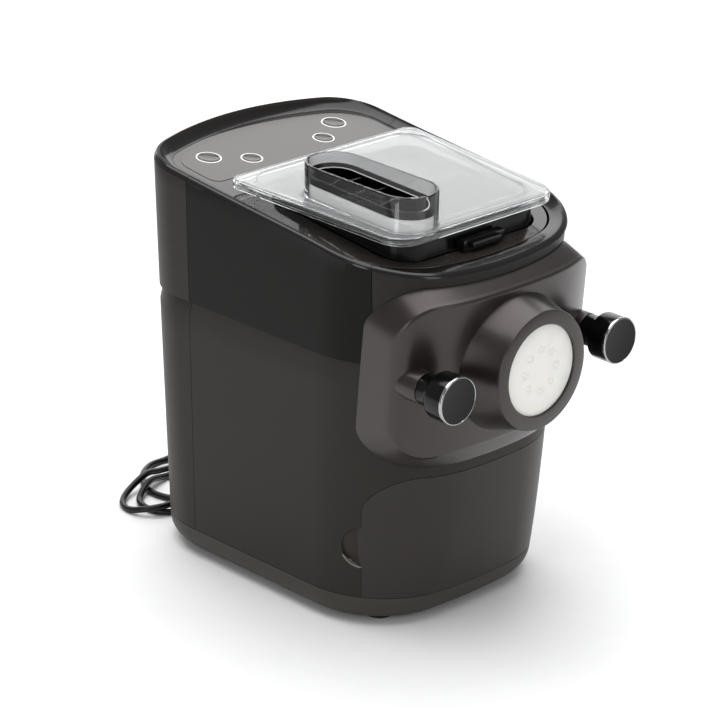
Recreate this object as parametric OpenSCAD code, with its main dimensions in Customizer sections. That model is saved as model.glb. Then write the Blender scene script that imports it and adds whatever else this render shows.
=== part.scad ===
// Electric pasta maker: a kneading chamber with a clear lid, a screw that presses the dough
// through a shaping disc, a drawer for spare discs, four top buttons and two front knobs.
// Millimetres. The front faces -Y, the floor is z = 0 and the machine is symmetric in X.

/* [Housing] */
// Width of the housing at the base line
base_w = 195; // [185:1:240]
// Width of the housing at the rim
top_w = 212; // [204:1:256]
// Distance from the centre to the front of the housing
front_reach = 122; // [118:1:148]
// Distance from the centre to the back of the housing
rear_reach = 157.5; // [152:1:190]
// Height of the rim at mid depth
rim_z = 288.5; // [282:1:346]
// Height of the base line, where the base tray ends
base_h = 23; // [20:0.5:28]
// Wall of the housing shells
wall = 2.4; // [2:0.1:3]
// Height of the groove between the lower housing and the upper covers
split_z = 203.5; // [200:0.5:206]
// Gap between neighbouring shells
gap = 0.4; // [0.3:0.05:0.6]

/* [Rim and deck] */
// Width of the rim from the outer face to the deck
rim_w = 13; // [11:0.5:15]
// Radius that rolls the rim over
rim_r = 4; // [3:0.5:5]
// Drop from the rim to the deck at mid depth
deck_drop = 6.2; // [5:0.2:8]
// Tilt of the deck and its buttons
deck_tilt = 6.7; // [5:0.1:8]
// Thickness of the deck
deck_t = 3; // [2.5:0.5:4]
// Front edge of the control panel
control_front = 77.5; // [76:0.5:84]
// Diameter of the outer pair of button rings
large_ring_d = 19; // [17:0.5:22]
// Diameter of the inner pair of button rings
small_ring_d = 16.5; // [15:0.5:19]
// Travel of a button
button_travel = 0.8; // [0.5:0.1:1]

/* [Front panel] */
// Width of the front panel
panel_w = 192; // [180:1:192]
// Height of the lower edge of the front panel
panel_z = 126.5; // [125:0.5:134]
// Height of the front panel
panel_h = 134.2; // [126:0.1:135]
// Corner radius of the front panel
panel_r = 30; // [22:1:34]
// Distance that the panel stands out from the housing
panel_stand = 12.6; // [10:0.2:16]
// Wall of the front panel
panel_wall = 2.6; // [2:0.1:3.2]
// Height of the screw axis
axis_z = 197; // [195:0.5:199]
// Outer diameter of the ring round the shaping disc
ring_d = 86.6; // [84:0.2:92]
// Distance that the ring stands out from the housing
ring_stand = 35.5; // [33:0.5:40]
// Diameter of the shaping disc that shows
disc_show_d = 65.8; // [60:0.2:68]
// Diameter of the shaping disc
disc_d = 76; // [74:0.5:78]
// Thickness of the shaping disc
disc_t = 7; // [5:0.5:9]

/* [Knobs] */
// Distance of each knob from the centre line
knob_x = 81.6; // [79:0.2:83]
// Diameter of a knob
knob_d = 34; // [28:1:36]
// Length of a knob with its neck
knob_len = 30; // [26:1:34]
// Diameter of a knob's neck
neck_d = 23; // [20:0.5:24]
// Diameter of the threaded stud
stud_d = 10; // [8:0.5:11]

/* [Drawer] */
// Width of the drawer front
drawer_w = 176; // [168:1:176]
// Height of the top edge of the drawer front
drawer_top = 119; // [112:1:120]
// Corner radius of the drawer front
drawer_r = 29; // [12:1:30]
// Width of the drawer tray
tray_w = 140; // [120:2:144]
// Radius of the finger scoop beside the drawer
scoop_r = 16; // [12:0.5:17]
// Travel of the drawer
drawer_travel = 100; // [60:5:105]

/* [Mixing chamber] */
// Half width of the chamber at the deck
tub_half_w = 73; // [70:0.5:75]
// Front of the chamber behind the housing front
tub_set_back = 29.6; // [28:0.2:32]
// Back of the chamber
tub_rear = 48; // [46:0.5:50]
// Wall of the chamber
tub_wall = 3; // [2:0.5:3.5]
// Inner radius of the round bottom
bowl_r = 58; // [54:0.5:60]

/* [Lid] */
// Half width of the lid at its rear edge
lid_rear_half_w = 90.5; // [88:0.5:91]
// Half width of the lid at its front edge
lid_front_half_w = 81; // [79:0.5:84]
// Rear edge of the lid
lid_rear = 62; // [58:0.5:64]
// Distance from the housing front to the front edge of the lid
lid_set_back = 25; // [23:0.5:27]
// Rise of the lid's top over the rim at mid depth
lid_rise = 6.1; // [5:0.1:8]
// Tilt of the lid
lid_tilt = 3.24; // [3:0.02:3.6]
// Height of the lid's skirt
skirt_h = 8; // [7:0.5:8]
// Wall of the lid
lid_wall = 2; // [1.8:0.1:2.6]
// Width of the filling slot's tower
slot_w = 42; // [36:1:44]
// Length of the filling slot's tower
slot_len = 105; // [90:1:108]
// Height of the tower over the lid
slot_h = 22; // [20:0.5:26]

/* [Drive] */
// Diameter of the drive shaft
shaft_d = 12; // [10:0.5:14]
// Diameter of the extrusion screw
screw_d = 52; // [44:1:54]
// Pitch of the extrusion screw
screw_pitch = 26; // [22:1:30]
// Running clearance of the screw in its tube
screw_gap = 0.8; // [0.6:0.1:1.2]
// Gear module of the last reduction
slow_module = 1.5; // [1.5:0.05:1.6]
// Gear module of the first reduction
fast_module = 1.25; // [1.2:0.05:1.3]
// Face width of the gears
gear_face = 8; // [6:0.5:9]
// Diameter of the motor can
motor_d = 72; // [64:1:74]
// Length of the motor can
motor_len = 54; // [46:1:56]

/* [Cord] */
// Diameter of the mains cord
cord_d = 5; // [5:0.1:5.5]
// Radius at the middle of the coiled turns
coil_r = 28; // [26:0.5:30]
// Turns that lie side by side and on each other in the coil
coil_rows = 2; // [2:1:2]

/* [Hidden] */

// Rounding of the exact round solids
$fn = 48;
eps = 0.01;

// Levels of the floor and of the base tray
foot_h = 2.5;
base_r = 16;
tray_floor_z = foot_h + wall;

// Outline of the housing: radii at the front and rear, and how they change with height
chin_z = rim_z - 28.5;
chin_depth = 21.2;
crown_r = 270;
crown_flatten = 198;
front_corner_r = 66;
front_corner_swell = 14;
swell_mid_z = 150;
swell_reach = 140;
rear_crown_r = 250;
rear_corner_r = [60, 41];
rear_lean = 1;
front_seam = 3.4;
seam_half = 0.002;
rear_seam_y = 88;

// Rim height along the depth
rim_slope = 0.1;
rim_front_dip = 8.2;
rim_rear_rise = 3.4;

// Groove between lower and upper shells
groove_h = 12.5;
groove_depth = wall + 0.6;
tongue_h = 5.5;

// Deck and lid planes
deck_slope = tan(deck_tilt);
lid_slope = tan(lid_tilt);
control_inset = 19;
control_t = 1.4;

// Buttons: place of each and the diameter of its ring
outer_button = [62, 113];
inner_button = [35.6, 96.3];
ring_w = 1.6;
button_gap = 0.35;

// Front panel
crease_drop = 7.7;
crease_rise = 6.5;
crease_inset = 0.3;
crease_r = 27;
panel_lean = 0.0644;
panel_sag = 13.6;
sag_at = 82;
edge_roll = 4;
edge_roll_w = 8;
panel_top = panel_z + panel_h;
ring_y = -(front_reach + ring_stand);
ring_lip = 3;
root_r = 50;
disc_back_y = ring_y + ring_lip + disc_t + 0.3;
boss_r = 11.75;
boss_front_y = -(front_reach + 5);
knob_face_y = boss_front_y - knob_len;
stud_tip_y = knob_face_y + 8;
stud_gap = 0.4;
insert_wall = 2.6;

// Chamber, tube and shaft line
tub_front_y = -(front_reach - tub_set_back);
tub_front_r = 24;
tub_rear_r = 20;
tub_half_front = tub_half_w - 1;
tub_draft = 3;
bowl_top_z = axis_z + 4;
tube_r = screw_d / 2 + screw_gap;
tube_wall = 3.5;
tube_back_y = tub_front_y + tub_wall;
bulkhead_y = 54;
bulkhead_t = 5;
bearing_r = 16;
bearing_w = 9;

// Gear train: teeth, centre distances and gear planes
slow_teeth = [14, 56];
fast_teeth = [12, 60];
lay_z = axis_z - slow_module * (slow_teeth[0] + slow_teeth[1]) / 2;
motor_z = lay_z - fast_module * (fast_teeth[0] + fast_teeth[1]) / 2;
slow_y = bulkhead_y + bulkhead_t + 5;
fast_y = slow_y + gear_face + 3;
case_y = bulkhead_y + bulkhead_t;
case_rear_y = fast_y + gear_face + 4;
case_wall = 3;
motor_y = case_rear_y + 0.2;
lay_shaft_d = 8;
motor_shaft_d = 6;
run_gap = 0.05;

// Drawer bay
tray_z = 31;
tray_h = 76;
tray_front_y = -98;
tray_rear_y = tray_front_y + drawer_travel + 14;
tray_front_r = 28;
tray_wall = 2;

// Lid, as corner circles [x, y, radius] from the rear left, counterclockwise
lid_front_y = -(front_reach - lid_set_back);
lid_corners = [
    [-(lid_rear_half_w - 9), lid_rear - 9, 9],
    [-(lid_front_half_w - 20), lid_front_y + 20, 20],
    [lid_front_half_w - 20, lid_front_y + 20, 20],
    [lid_rear_half_w - 9, lid_rear - 9, 9]];
tub_corners = [
    [-(tub_half_w - tub_rear_r), tub_rear - tub_rear_r, tub_rear_r],
    [-(tub_half_front - tub_front_r), tub_front_y + tub_front_r, tub_front_r],
    [tub_half_front - tub_front_r, tub_front_y + tub_front_r, tub_front_r],
    [tub_half_w - tub_rear_r, tub_rear - tub_rear_r, tub_rear_r]];
slot_x = -50;
slot_y = lid_front_y + 58;
slot_half = (slot_len - slot_w) / 2;
slot_corners = [
    [slot_x, slot_y + slot_half, slot_w / 2],
    [slot_x, slot_y - slot_half, slot_w / 2]];
insert_top = 14.5;
insert_edge = 12;
insert_bottom = 9.2;

// Cord: exit, route and coil
cord_exit_x = 20;
cord_exit_z = 35;
gland_len = 30;
gland_y = 156.5;
coil_x = 72;
coil_y = 205;
coil_out = coil_r + coil_rows * cord_d / 2;
lead_r = coil_out - cord_d / 2;
cord_end_x = coil_x - sqrt(pow(coil_out + cord_d / 2 + gap, 2) - pow(lead_r, 2));
cord_route = [
    [20, 186.5, 35], [20, 200, 33], [18.5, 214.5, 23], [12.5, 226.5, 8], [0.5, 233, 2.5],
    [-15.5, 232.5, 2.5], [-33, 221.5, 2.5], [-45.5, 203, 2.5], [-47.5, 185, 2.5], [-39, 168, 2.5],
    [-21, 159.5, 2.5], [1, 160.5, 2.5], [15.5, 173.5, 2.5], [15.5, 192.5, 2.5], [1, 206, 2.5],
    [-20.5, 208, 3], [-43.5, 201, 8], [-62.5, 191, 3], [-69.5, 177, 2.5], [-66.5, 162.5, 2.5],
    [-54.5, 153.5, 2.5], [-33, 150.5, 2.5], [-11, 152, 2.5], [13, 154.5, 2.5], [30, 164, 2.5],
    [38, 180.5, 2.5], [34, 198.5, 2.5], [19, 211, 2.5], [-2, 214.5, 4], [-25, 211, 8],
    [-42.5, 207, 11.5], [-63, 203.5, 5], [-76.5, 194.5, 2.5], [-81.5, 181.5, 2.5], [-77, 167.5, 6],
    [-64, 159, 8], [-41.5, 159.5, 8], [-12, 166, 7.5], [17, 171.5, 8], [cord_end_x, coil_y - lead_r, 7.5]];
plug_z = 7.5;
plug_w = 35;
plug_len = 36;
plug_x = 121;
pin_d = 4;
pin_len = 19;
pin_pitch = 18.6;

function lerp(a, b, t) = a + (b - a) * t;

// Housing outline. u runs from the rear apex (0) over the left side to the front apex (5);
// beyond 5 and below 0 it mirrors to the right side. d is the inset from the outer face.
function taper(z) = (z - base_h) / (rim_z - base_h);
function chin(z) = pow(max(0, chin_z - z) / chin_z, 3);
function half_w(z) = lerp(base_w, top_w, taper(z)) / 2;
function front_y(z) = chin_depth * chin(z) - front_reach;
function front_r(z) = front_corner_r + front_corner_swell * (1 - pow((z - swell_mid_z) / swell_reach, 2));
function front_crown(z) = crown_r + crown_flatten * chin(z);
function rear_y(z) = rear_reach - rear_lean * (1 - taper(z));
function rear_r(z) = lerp(rear_corner_r[0], rear_corner_r[1], taper(z));
function corner_depth(big_r, small_r, half) = sqrt(pow(big_r - small_r, 2) - pow(half - small_r, 2));
function front_c(z) = [front_r(z) - half_w(z),
    front_y(z) + front_crown(z) - corner_depth(front_crown(z), front_r(z), half_w(z))];
function rear_c(z) = [rear_r(z) - half_w(z),
    rear_y(z) - rear_crown_r + corner_depth(rear_crown_r, rear_r(z), half_w(z))];
function polar(c, r, a) = [c.x + r * cos(a), c.y + r * sin(a)];
function plan(u, z, d) =
    let (
        rear_centre = [0, rear_y(z) - rear_crown_r],
        front_centre = [0, front_y(z) + front_crown(z)],
        rear_dir = rear_c(z) - rear_centre,
        front_dir = front_c(z) - front_centre,
        rear_a = atan2(rear_dir.y, rear_dir.x),
        front_a = 360 + atan2(front_dir.y, front_dir.x))
    u < 1 ? polar(rear_centre, rear_crown_r - d, lerp(90, rear_a, u)) :
    u < 2 ? polar(rear_c(z), rear_r(z) - d, lerp(rear_a, 180, u - 1)) :
    u < 3 ? [d - half_w(z), lerp(rear_c(z).y, front_c(z).y, u - 2)] :
    u < 4 ? polar(front_c(z), front_r(z) - d, lerp(180, front_a, u - 3)) :
    polar(front_centre, front_crown(z) - d, lerp(front_a, 270, u - 4));
function mirrored(p) = [-p.x, p.y];
function outline(u, z, d) =
    u < 0 ? mirrored(plan(-u, z, d)) :
    u <= 5 ? plan(u, z, d) : mirrored(plan(10 - u, z, d));
function skin_point(u, z, d) = let (p = outline(u, z, d)) [p.x, p.y, z];
function side_u(y, z) = 2 + (rear_c(z).y - y) / (rear_c(z).y - front_c(z).y);
function front_surface(x, z, out) =
    let (
        c = front_c(z),
        crown = front_crown(z),
        tangent_x = -c.x * crown / (crown - front_r(z)))
    abs(x) < tangent_x ? front_y(z) + crown - sqrt(pow(crown + out, 2) - x * x) :
    c.y - sqrt(pow(front_r(z) + out, 2) - pow(abs(x) + c.x, 2));

// Rim and planes
function crest_z(y) = rim_z + rim_slope * y - rim_front_dip * pow(max(0, -y) / front_reach, 3)
    + rim_rear_rise * pow(max(0, y) / rear_reach, 3);
function deck_z(y) = rim_z - deck_drop + deck_slope * y;
function lid_z(y) = rim_z + lid_rise + lid_slope * y;

// One upright profile of an upper shell, from z0 over the rim to the deck. uf(z) gives u.
function rim_column(uf, z0, w) =
    let (
        edge_y = outline(uf(rim_z), rim_z, 0).y,
        top = crest_z(edge_y),
        deck = deck_z(outline(uf(rim_z), rim_z, rim_w).y))
    concat(
        [for (k = [0:3]) let (z = lerp(z0, top - rim_r, k / 3)) skin_point(uf(z), z, w)],
        [for (a = [30, 60, 90]) let (z = top - rim_r + (rim_r - w) * sin(a))
            skin_point(uf(rim_z), z, rim_r - (rim_r - w) * cos(a))],
        [for (s = [1 / 3, 2 / 3, 1]) let (z = lerp(top, deck, 1 - pow(1 - s, 2)) - w)
            skin_point(uf(rim_z), z, lerp(rim_r, rim_w, s))]);

// The lower part of an upright profile, up to the start of the groove
function wall_column(uf, w) =
    [for (k = [0:3]) let (z = lerp(base_h + gap, split_z - groove_h, k / 3)) skin_point(uf(z), z, w)];
function column_end(uf, z, d) = [skin_point(uf(z), z, d)];

// Stations along the outline
side_stations = [for (k = [0:3]) k / 3];
corner_stations = [for (k = [1:4]) lerp(0, front_seam - seam_half - 3, k / 4)];
function side_front_u(s, z) = lerp(side_u(rear_seam_y - gap / 2, z), 3, s);
front_half_stations = concat(
    [for (k = [0:4]) lerp(front_seam + seam_half, 4, k / 4)], [for (k = [1:4]) 4 + k / 4]);
front_stations = concat(front_half_stations,
    [for (k = [len(front_half_stations) - 2:-1:0]) 10 - front_half_stations[k]]);
lower_half_stations = concat([for (k = [0:6]) 3 + k / 6], [for (k = [1:4]) 4 + k / 4]);

// Closed ring of the whole outline at height z
ring_stations = concat([for (k = [0:3]) k / 4], [for (k = [0:5]) 1 + k / 6], [2, 2.5],
    [for (k = [0:6]) 3 + k / 7], [for (k = [0:3]) 4 + k / 4]);
function full_ring(z, d) = concat(
    [for (u = ring_stations) skin_point(u, z, d)],
    [skin_point(5, z, d)],
    [for (k = [len(ring_stations) - 1:-1:1]) skin_point(10 - ring_stations[k], z, d)]);
function on_plane(points, z_of, lift) = [for (p = points) [p.x, p.y, z_of(p.y) + lift]];

// Rounded outline round corner circles [x, y, r], counterclockwise, inset by d,
// with n steps at each corner and m points along each straight edge
function tangent_a(a, b) = let (e = [b.x - a.x, b.y - a.y]) atan2(e.y, e.x) - acos((a[2] - b[2]) / norm(e));
function rounded(corners, d = 0, n = 6, m = 0) =
    let (count = len(corners))
    [for (i = [0:count - 1])
        let (
            c = corners[i],
            next = corners[(i + 1) % count],
            a0 = tangent_a(corners[(i + count - 1) % count], c),
            raw = tangent_a(c, next),
            a1 = raw < a0 ? raw + 360 : raw,
            end = polar(c, c[2] - d, a1),
            start = polar(next, next[2] - d, a1))
        each concat(
            [for (j = [0:n]) polar(c, c[2] - d, lerp(a0, a1, j / n))],
            [for (j = [1:1:m]) lerp(end, start, j / (m + 1))])];
function box_corners(x0, x1, y0, y1, r) =
    [[x0 + r, y1 - r, r], [x0 + r, y0 + r, r], [x1 - r, y0 + r, r], [x1 - r, y1 - r, r]];

// Solids from grids of points
function quad(a, b, c, d) = [[a, b, c], [a, c, d]];
function flat(rows) = [for (row = rows) each row];

// A shell between two grids of points of the same size, closed or open round its columns
module thick_patch(outer, inner, closed = false) {
    n = len(outer);
    m = len(outer[0]);
    cols = closed ? n : n - 1;
    function o(i, j) = (i % n) * m + j;
    function v(i, j) = n * m + (i % n) * m + j;
    polyhedron(concat(flat(outer), flat(inner)), concat(
        [for (i = [0:cols - 1], j = [0:m - 2]) each quad(o(i, j), o(i, j + 1), o(i + 1, j + 1), o(i + 1, j))],
        [for (i = [0:cols - 1], j = [0:m - 2]) each quad(v(i, j), v(i + 1, j), v(i + 1, j + 1), v(i, j + 1))],
        [for (i = [0:cols - 1]) each quad(o(i, 0), o(i + 1, 0), v(i + 1, 0), v(i, 0))],
        [for (i = [0:cols - 1])
            each quad(o(i, m - 1), v(i, m - 1), v(i + 1, m - 1), o(i + 1, m - 1))],
        closed ? [] : [for (j = [0:m - 2]) each quad(o(0, j), v(0, j), v(0, j + 1), o(0, j + 1))],
        closed ? [] : [for (j = [0:m - 2])
            each quad(o(n - 1, j), o(n - 1, j + 1), v(n - 1, j + 1), v(n - 1, j))]));
}

// A solid skinned over stacked closed rings
module skin(rings) {
    n = len(rings[0]);
    top = len(rings) - 1;
    function o(i, j) = j * n + (i % n);
    polyhedron(flat(rings), concat(
        [for (j = [0:top - 1], i = [0:n - 1])
            each quad(o(i, j), o(i, j + 1), o(i + 1, j + 1), o(i + 1, j))],
        [[for (i = [0:n - 1]) o(i, 0)]],
        [[for (i = [n - 1:-1:0]) o(i, top)]]));
}

// A round solid of profile [radius, y] about an axis along Y through (x, z)
module turned(x, z, profile) {
    translate([x, 0, z]) rotate([-90, 0, 0]) rotate_extrude() polygon(profile);
}
// A round bar along Y from y0 to y1
module bar(x, z, r, y0, y1) {
    translate([x, y0, z]) rotate([-90, 0, 0]) cylinder(r = r, h = y1 - y0);
}
// A prism along Y of an outline in X and Z
module prism_y(points, y0, y1) {
    translate([0, y1, 0]) rotate([90, 0, 0]) linear_extrude(y1 - y0) polygon(points);
}
module on_both_sides() {
    children();
    mirror([1, 0, 0]) children();
}

// Base
tray_screws = [[76, -36], [72, 62]];
module base_tray() {
    rounding = [for (a = [0, 25, 50, 75, 90]) [foot_h + base_r * (1 - cos(a)), base_r * (1 - sin(a))]];
    color("#45433c") difference() {
        skin(concat(
            [for (q = rounding) full_ring(q[0], q[1])],
            [full_ring(base_h, 0), full_ring(base_h, wall), full_ring(foot_h + base_r, wall),
             full_ring(foot_h + base_r / 2, wall + 2.5), full_ring(tray_floor_z, base_r)]));
        on_both_sides() for (p = feet) translate([p.x, p.y, foot_h - eps])
            cylinder(r = foot_r - 3, h = wall + 2 * eps);
        on_both_sides() for (p = tray_screws) translate([p.x, p.y, 0]) cylinder(r = 2, h = base_h);
    }
}
feet = [[60, -66], [56, 112]];
foot_r = 10;
module rubber_feet() {
    color("#1b1b1b") on_both_sides() for (p = feet) translate([p.x, p.y, 0]) {
        cylinder(r = foot_r, h = foot_h);
        cylinder(r = foot_r - 3.2, h = tray_floor_z);
    }
}
// Weighing beams, one over each foot
cell_len = 26;
module load_cells() {
    color("#b9bcc0") on_both_sides() for (p = feet)
        translate([p.x - cell_len + 4, p.y - 5, tray_floor_z + eps]) difference() {
            cube([cell_len, 10, 8]);
            translate([8, -eps, 2.5]) cube([cell_len - 16, 10 + 2 * eps, 3]);
        }
}

// Lower housing: both sides, the bridge over the drawer and the wall behind the front panel
function drawer_profile(grow) =
    let (half = drawer_w / 2 + grow, top = drawer_top + grow, r = drawer_r + grow)
    concat([[half, 0]],
        [for (k = [0:6]) polar([half - r, top - r], r, 15 * k)],
        [for (k = [6:-1:0]) polar([r - half, top - r], r, 180 - 15 * k)],
        [[-half, 0]]);
function lower_column(uf, w) = concat(wall_column(uf, w),
    column_end(uf, split_z - gap, groove_depth + w), column_end(uf, split_z + tongue_h, groove_depth + w));
module lower_shell() {
    left = [for (s = [0, 1 / 2]) function(z) side_front_u(s, z)];
    front = [for (u = lower_half_stations) function(z) u];
    half = concat(left, front);
    right = [for (k = [len(half) - 2:-1:0]) function(z) 10 - half[k](z)];
    columns = concat(half, right);
    thick_patch([for (uf = columns) lower_column(uf, 0)], [for (uf = columns) lower_column(uf, wall)]);
}
scoop_z = 62;
scoop_depth = 9;
edge_wedge = 6.5;
scoop_point = [-drawer_w / 2, front_surface(drawer_w / 2, scoop_z, 0), scoop_z];
scoop_dir = scoop_point - [front_c(scoop_z).x, front_c(scoop_z).y, scoop_z];
scoop_a = atan2(scoop_dir.y, scoop_dir.x);
module scoop(r, depth) {
    translate(scoop_point) rotate([0, 0, scoop_a]) rotate([0, -90, 0]) translate([0, 0, -4])
        cylinder(r = r, h = 4 + depth);
}
// The side of the drawer's edge that belongs to the housing
module scoop_side(clear) {
    translate(scoop_point) rotate([0, 0, scoop_a])
        translate([-2 * scoop_r, -3 * scoop_r - clear, -2 * scoop_r])
            cube([4 * scoop_r, 3 * scoop_r, 4 * scoop_r]);
}
module lower_housing() {
    color("#3a3632") difference() {
        union() {
            difference() {
                lower_shell();
                prism_y(drawer_profile(gap), -front_reach - 20, -40);
            }
            on_both_sides() intersection() {
                scoop(scoop_r + 2, scoop_depth + 2);
                scoop_side(edge_wedge);
                scoop_inside();
            }
        }
        on_both_sides() intersection() {
            scoop(scoop_r, scoop_depth);
            scoop_side(-eps);
        }
        bar(0, axis_z, collar_hole_r, -front_reach - 20, -60);
        on_both_sides() bar(knob_x, axis_z, rod_r + gap, -front_reach - 20, -60);
    }
}
// Keeps the scoop's cup behind the outer face of the housing
module scoop_inside() {
    translate(scoop_point) rotate([0, 0, scoop_a]) translate([-20, -40, -40]) cube([19, 80, 80]);
}
collar_hole_r = 52;
rod_r = 6;

// Rear cover over the full height, with the vents of the motor
function rear_edge_u(z) = side_u(rear_seam_y + gap / 2, z);
rear_left_columns = concat(
    [for (k = [0:5]) function(z) k / 5],
    [for (k = [1:5]) function(z) 1 + k / 5],
    [function(z) rear_edge_u(z)]);
function rear_column(uf, w) = concat(
    wall_column(uf, w),
    column_end(uf, split_z - gap, groove_depth + w),
    w == 0 ? rim_column(uf, split_z, 0) :
        concat(column_end(uf, split_z + tongue_h, groove_depth + w),
            [for (k = [1:9]) rim_column(uf, split_z, w)[k]]));
vent_w = 46;
vent_h = 3;
module rear_cover() {
    right_columns = [for (k = [len(rear_left_columns) - 1:-1:1]) function(z) -rear_left_columns[k](z)];
    columns = concat(right_columns, rear_left_columns);
    color("#2c2a26") difference() {
        thick_patch([for (uf = columns) rear_column(uf, 0)], [for (uf = columns) rear_column(uf, wall)]);
        on_both_sides() for (k = [0:6]) prism_y(rounded(
            box_corners(12, 12 + vent_w, 84 + 8 * k, 84 + 8 * k + vent_h, vent_h / 2 - eps), 0, 4), 130, 170);
        bar(cord_exit_x, cord_exit_z, 6.5, 140, 170);
    }
}

// Upper covers and the fascia between them
module upper_cover() {
    columns = concat([for (s = side_stations) function(z) side_front_u(s, z)],
        [for (s = corner_stations) function(z) 3 + s]);
    thick_patch([for (uf = columns) rim_column(uf, split_z, 0)],
        [for (uf = columns) rim_column(uf, split_z, wall)]);
}
module upper_cover_left() {
    color("#22231e") upper_cover();
}
module upper_cover_right() {
    color("#22231e") mirror([1, 0, 0]) upper_cover();
}
module front_fascia() {
    columns = [for (u = front_stations) function(z) u];
    color("#22231e") difference() {
        thick_patch([for (uf = columns) rim_column(uf, split_z, 0)],
            [for (uf = columns) rim_column(uf, split_z, wall)]);
        bar(0, axis_z, collar_hole_r, -front_reach - 20, -60);
    }
}

// Deck with the chamber's mouth, and the control panel let into it
function deck_point(u, d, lift) =
    let (p = outline(u, deck_z(outline(u, rim_z, rim_w).y), rim_w + d)) [p.x, p.y, deck_z(p.y) + lift];
function deck_ring(d, lift) = concat(
    [for (u = ring_stations) deck_point(u, d, lift)],
    [deck_point(5, d, lift)],
    [for (k = [len(ring_stations) - 1:-1:1]) deck_point(10 - ring_stations[k], d, lift)]);
control_half = half_w(rim_z) - control_inset;
function control_outline(d) = concat(
    [for (k = [0:4]) polar([-(control_half - 8), control_front + 8], 8 - d, 180 + 22.5 * k)],
    [for (k = [0:4]) polar([control_half - 8, control_front + 8], 8 - d, 270 + 22.5 * k)],
    [for (k = [6:-1:1]) mirrored(outline(1 + k / 6, rim_z, control_inset + d))],
    [for (k = [4:-1:1]) mirrored(outline(k / 4, rim_z, control_inset + d))],
    [for (k = [0:4]) outline(k / 4, rim_z, control_inset + d)],
    [for (k = [1:6]) outline(1 + k / 6, rim_z, control_inset + d)]);
module deck_plate(points, top, bottom) {
    skin([on_plane(points, function(y) deck_z(y), bottom), on_plane(points, function(y) deck_z(y), top)]);
}
// Cuts or adds round a button's axis, square to the deck
module at_button(p) {
    translate([p.x, p.y, deck_z(p.y)]) rotate([deck_tilt, 0, 0]) children();
}
buttons = [
    [-outer_button.x, outer_button.y, large_ring_d / 2],
    [-inner_button.x, inner_button.y, small_ring_d / 2],
    [outer_button.x, outer_button.y, large_ring_d / 2],
    [inner_button.x, inner_button.y, small_ring_d / 2]];
module deck() {
    color("#55504c") difference() {
        skin([deck_ring(gap, -deck_t), deck_ring(gap, 0)]);
        translate([0, 0, rim_z - 60]) linear_extrude(100) polygon(rounded(tub_corners, -gap, 8));
        deck_plate(control_outline(-gap / 2), 5, -control_t);
        for (b = buttons) at_button(b) translate([0, 0, -20]) cylinder(r = b[2] - ring_w, h = 40);
    }
}
module control_panel() {
    color("#6a6460") difference() {
        deck_plate(control_outline(0), 0.3, eps - control_t);
        for (b = buttons) at_button(b) translate([0, 0, -20]) cylinder(r = b[2], h = 40);
    }
}
module light_rings() {
    color("#f2f2ee") for (b = buttons) at_button(b) difference() {
        translate([0, 0, -control_t + 0.15]) cylinder(r = b[2] - 0.1, h = control_t + 0.35);
        translate([0, 0, -20]) cylinder(r = b[2] - ring_w, h = 40);
    }
}
module button(b) {
    r = b[2] - ring_w - button_gap;
    color("#4c4845") at_button(b) {
        translate([0, 0, -control_t - 1]) cylinder(r = r, h = control_t + 2);
        translate([0, 0, button_stem_z]) cylinder(r = 2.5, h = -button_stem_z - control_t);
    }
}
button_stem_z = -9;
module button_power() { button(buttons[0]); }
module button_program() { button(buttons[1]); }
module button_weigh() { button(buttons[3]); }
module button_start() { button(buttons[2]); }

// Boards: the control board hangs under the deck, the power board stands beside the motor
board_t = 1.6;
board_drop = 13;
module control_board() {
    board = rounded(box_corners(-78, 78, control_front + 8, control_front + 48, 4), 0, 3);
    color("#2f6b45") deck_plate(board, -board_drop, -board_drop - board_t);
    color("#2f6b45") for (b = buttons) at_button(b)
        translate([-3, -3, -board_drop]) cube([6, 6, board_drop + button_stem_z - button_travel - 0.3]);
    color("#2f6b45") on_both_sides() at_button([46, control_front + 40])
        translate([0, 0, -board_drop]) cylinder(r = 3, h = board_drop - deck_t);
}
power_x = 62;
power_len = 62;
power_h = 120;
power_z = tray_floor_z + 18;
// Place along Y and height, and size, of the transformer and the relay
power_parts = [[[18, 60], [14, 24, 20]], [[12, 100], [9, 30, 12]]];
// Heights over the tray of the two feet against the gearbox case
power_feet = [30, 120];
module power_board() {
    color("#2f6b45") {
        translate([power_x, case_y + 6, power_z]) cube([board_t, power_len, power_h]);
        for (part = power_parts)
            translate([power_x - part[1].x, case_y + part[0].x, part[0].y]) cube(part[1]);
        // The smoothing capacitor
        translate([power_x - 12, case_y + 58, 72]) rotate([0, 90, 0]) cylinder(r = 7, h = 12);
        for (z = power_feet) translate([power_x - 6, case_y, tray_floor_z + z]) cube([7, 7, 6]);
    }
}

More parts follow.
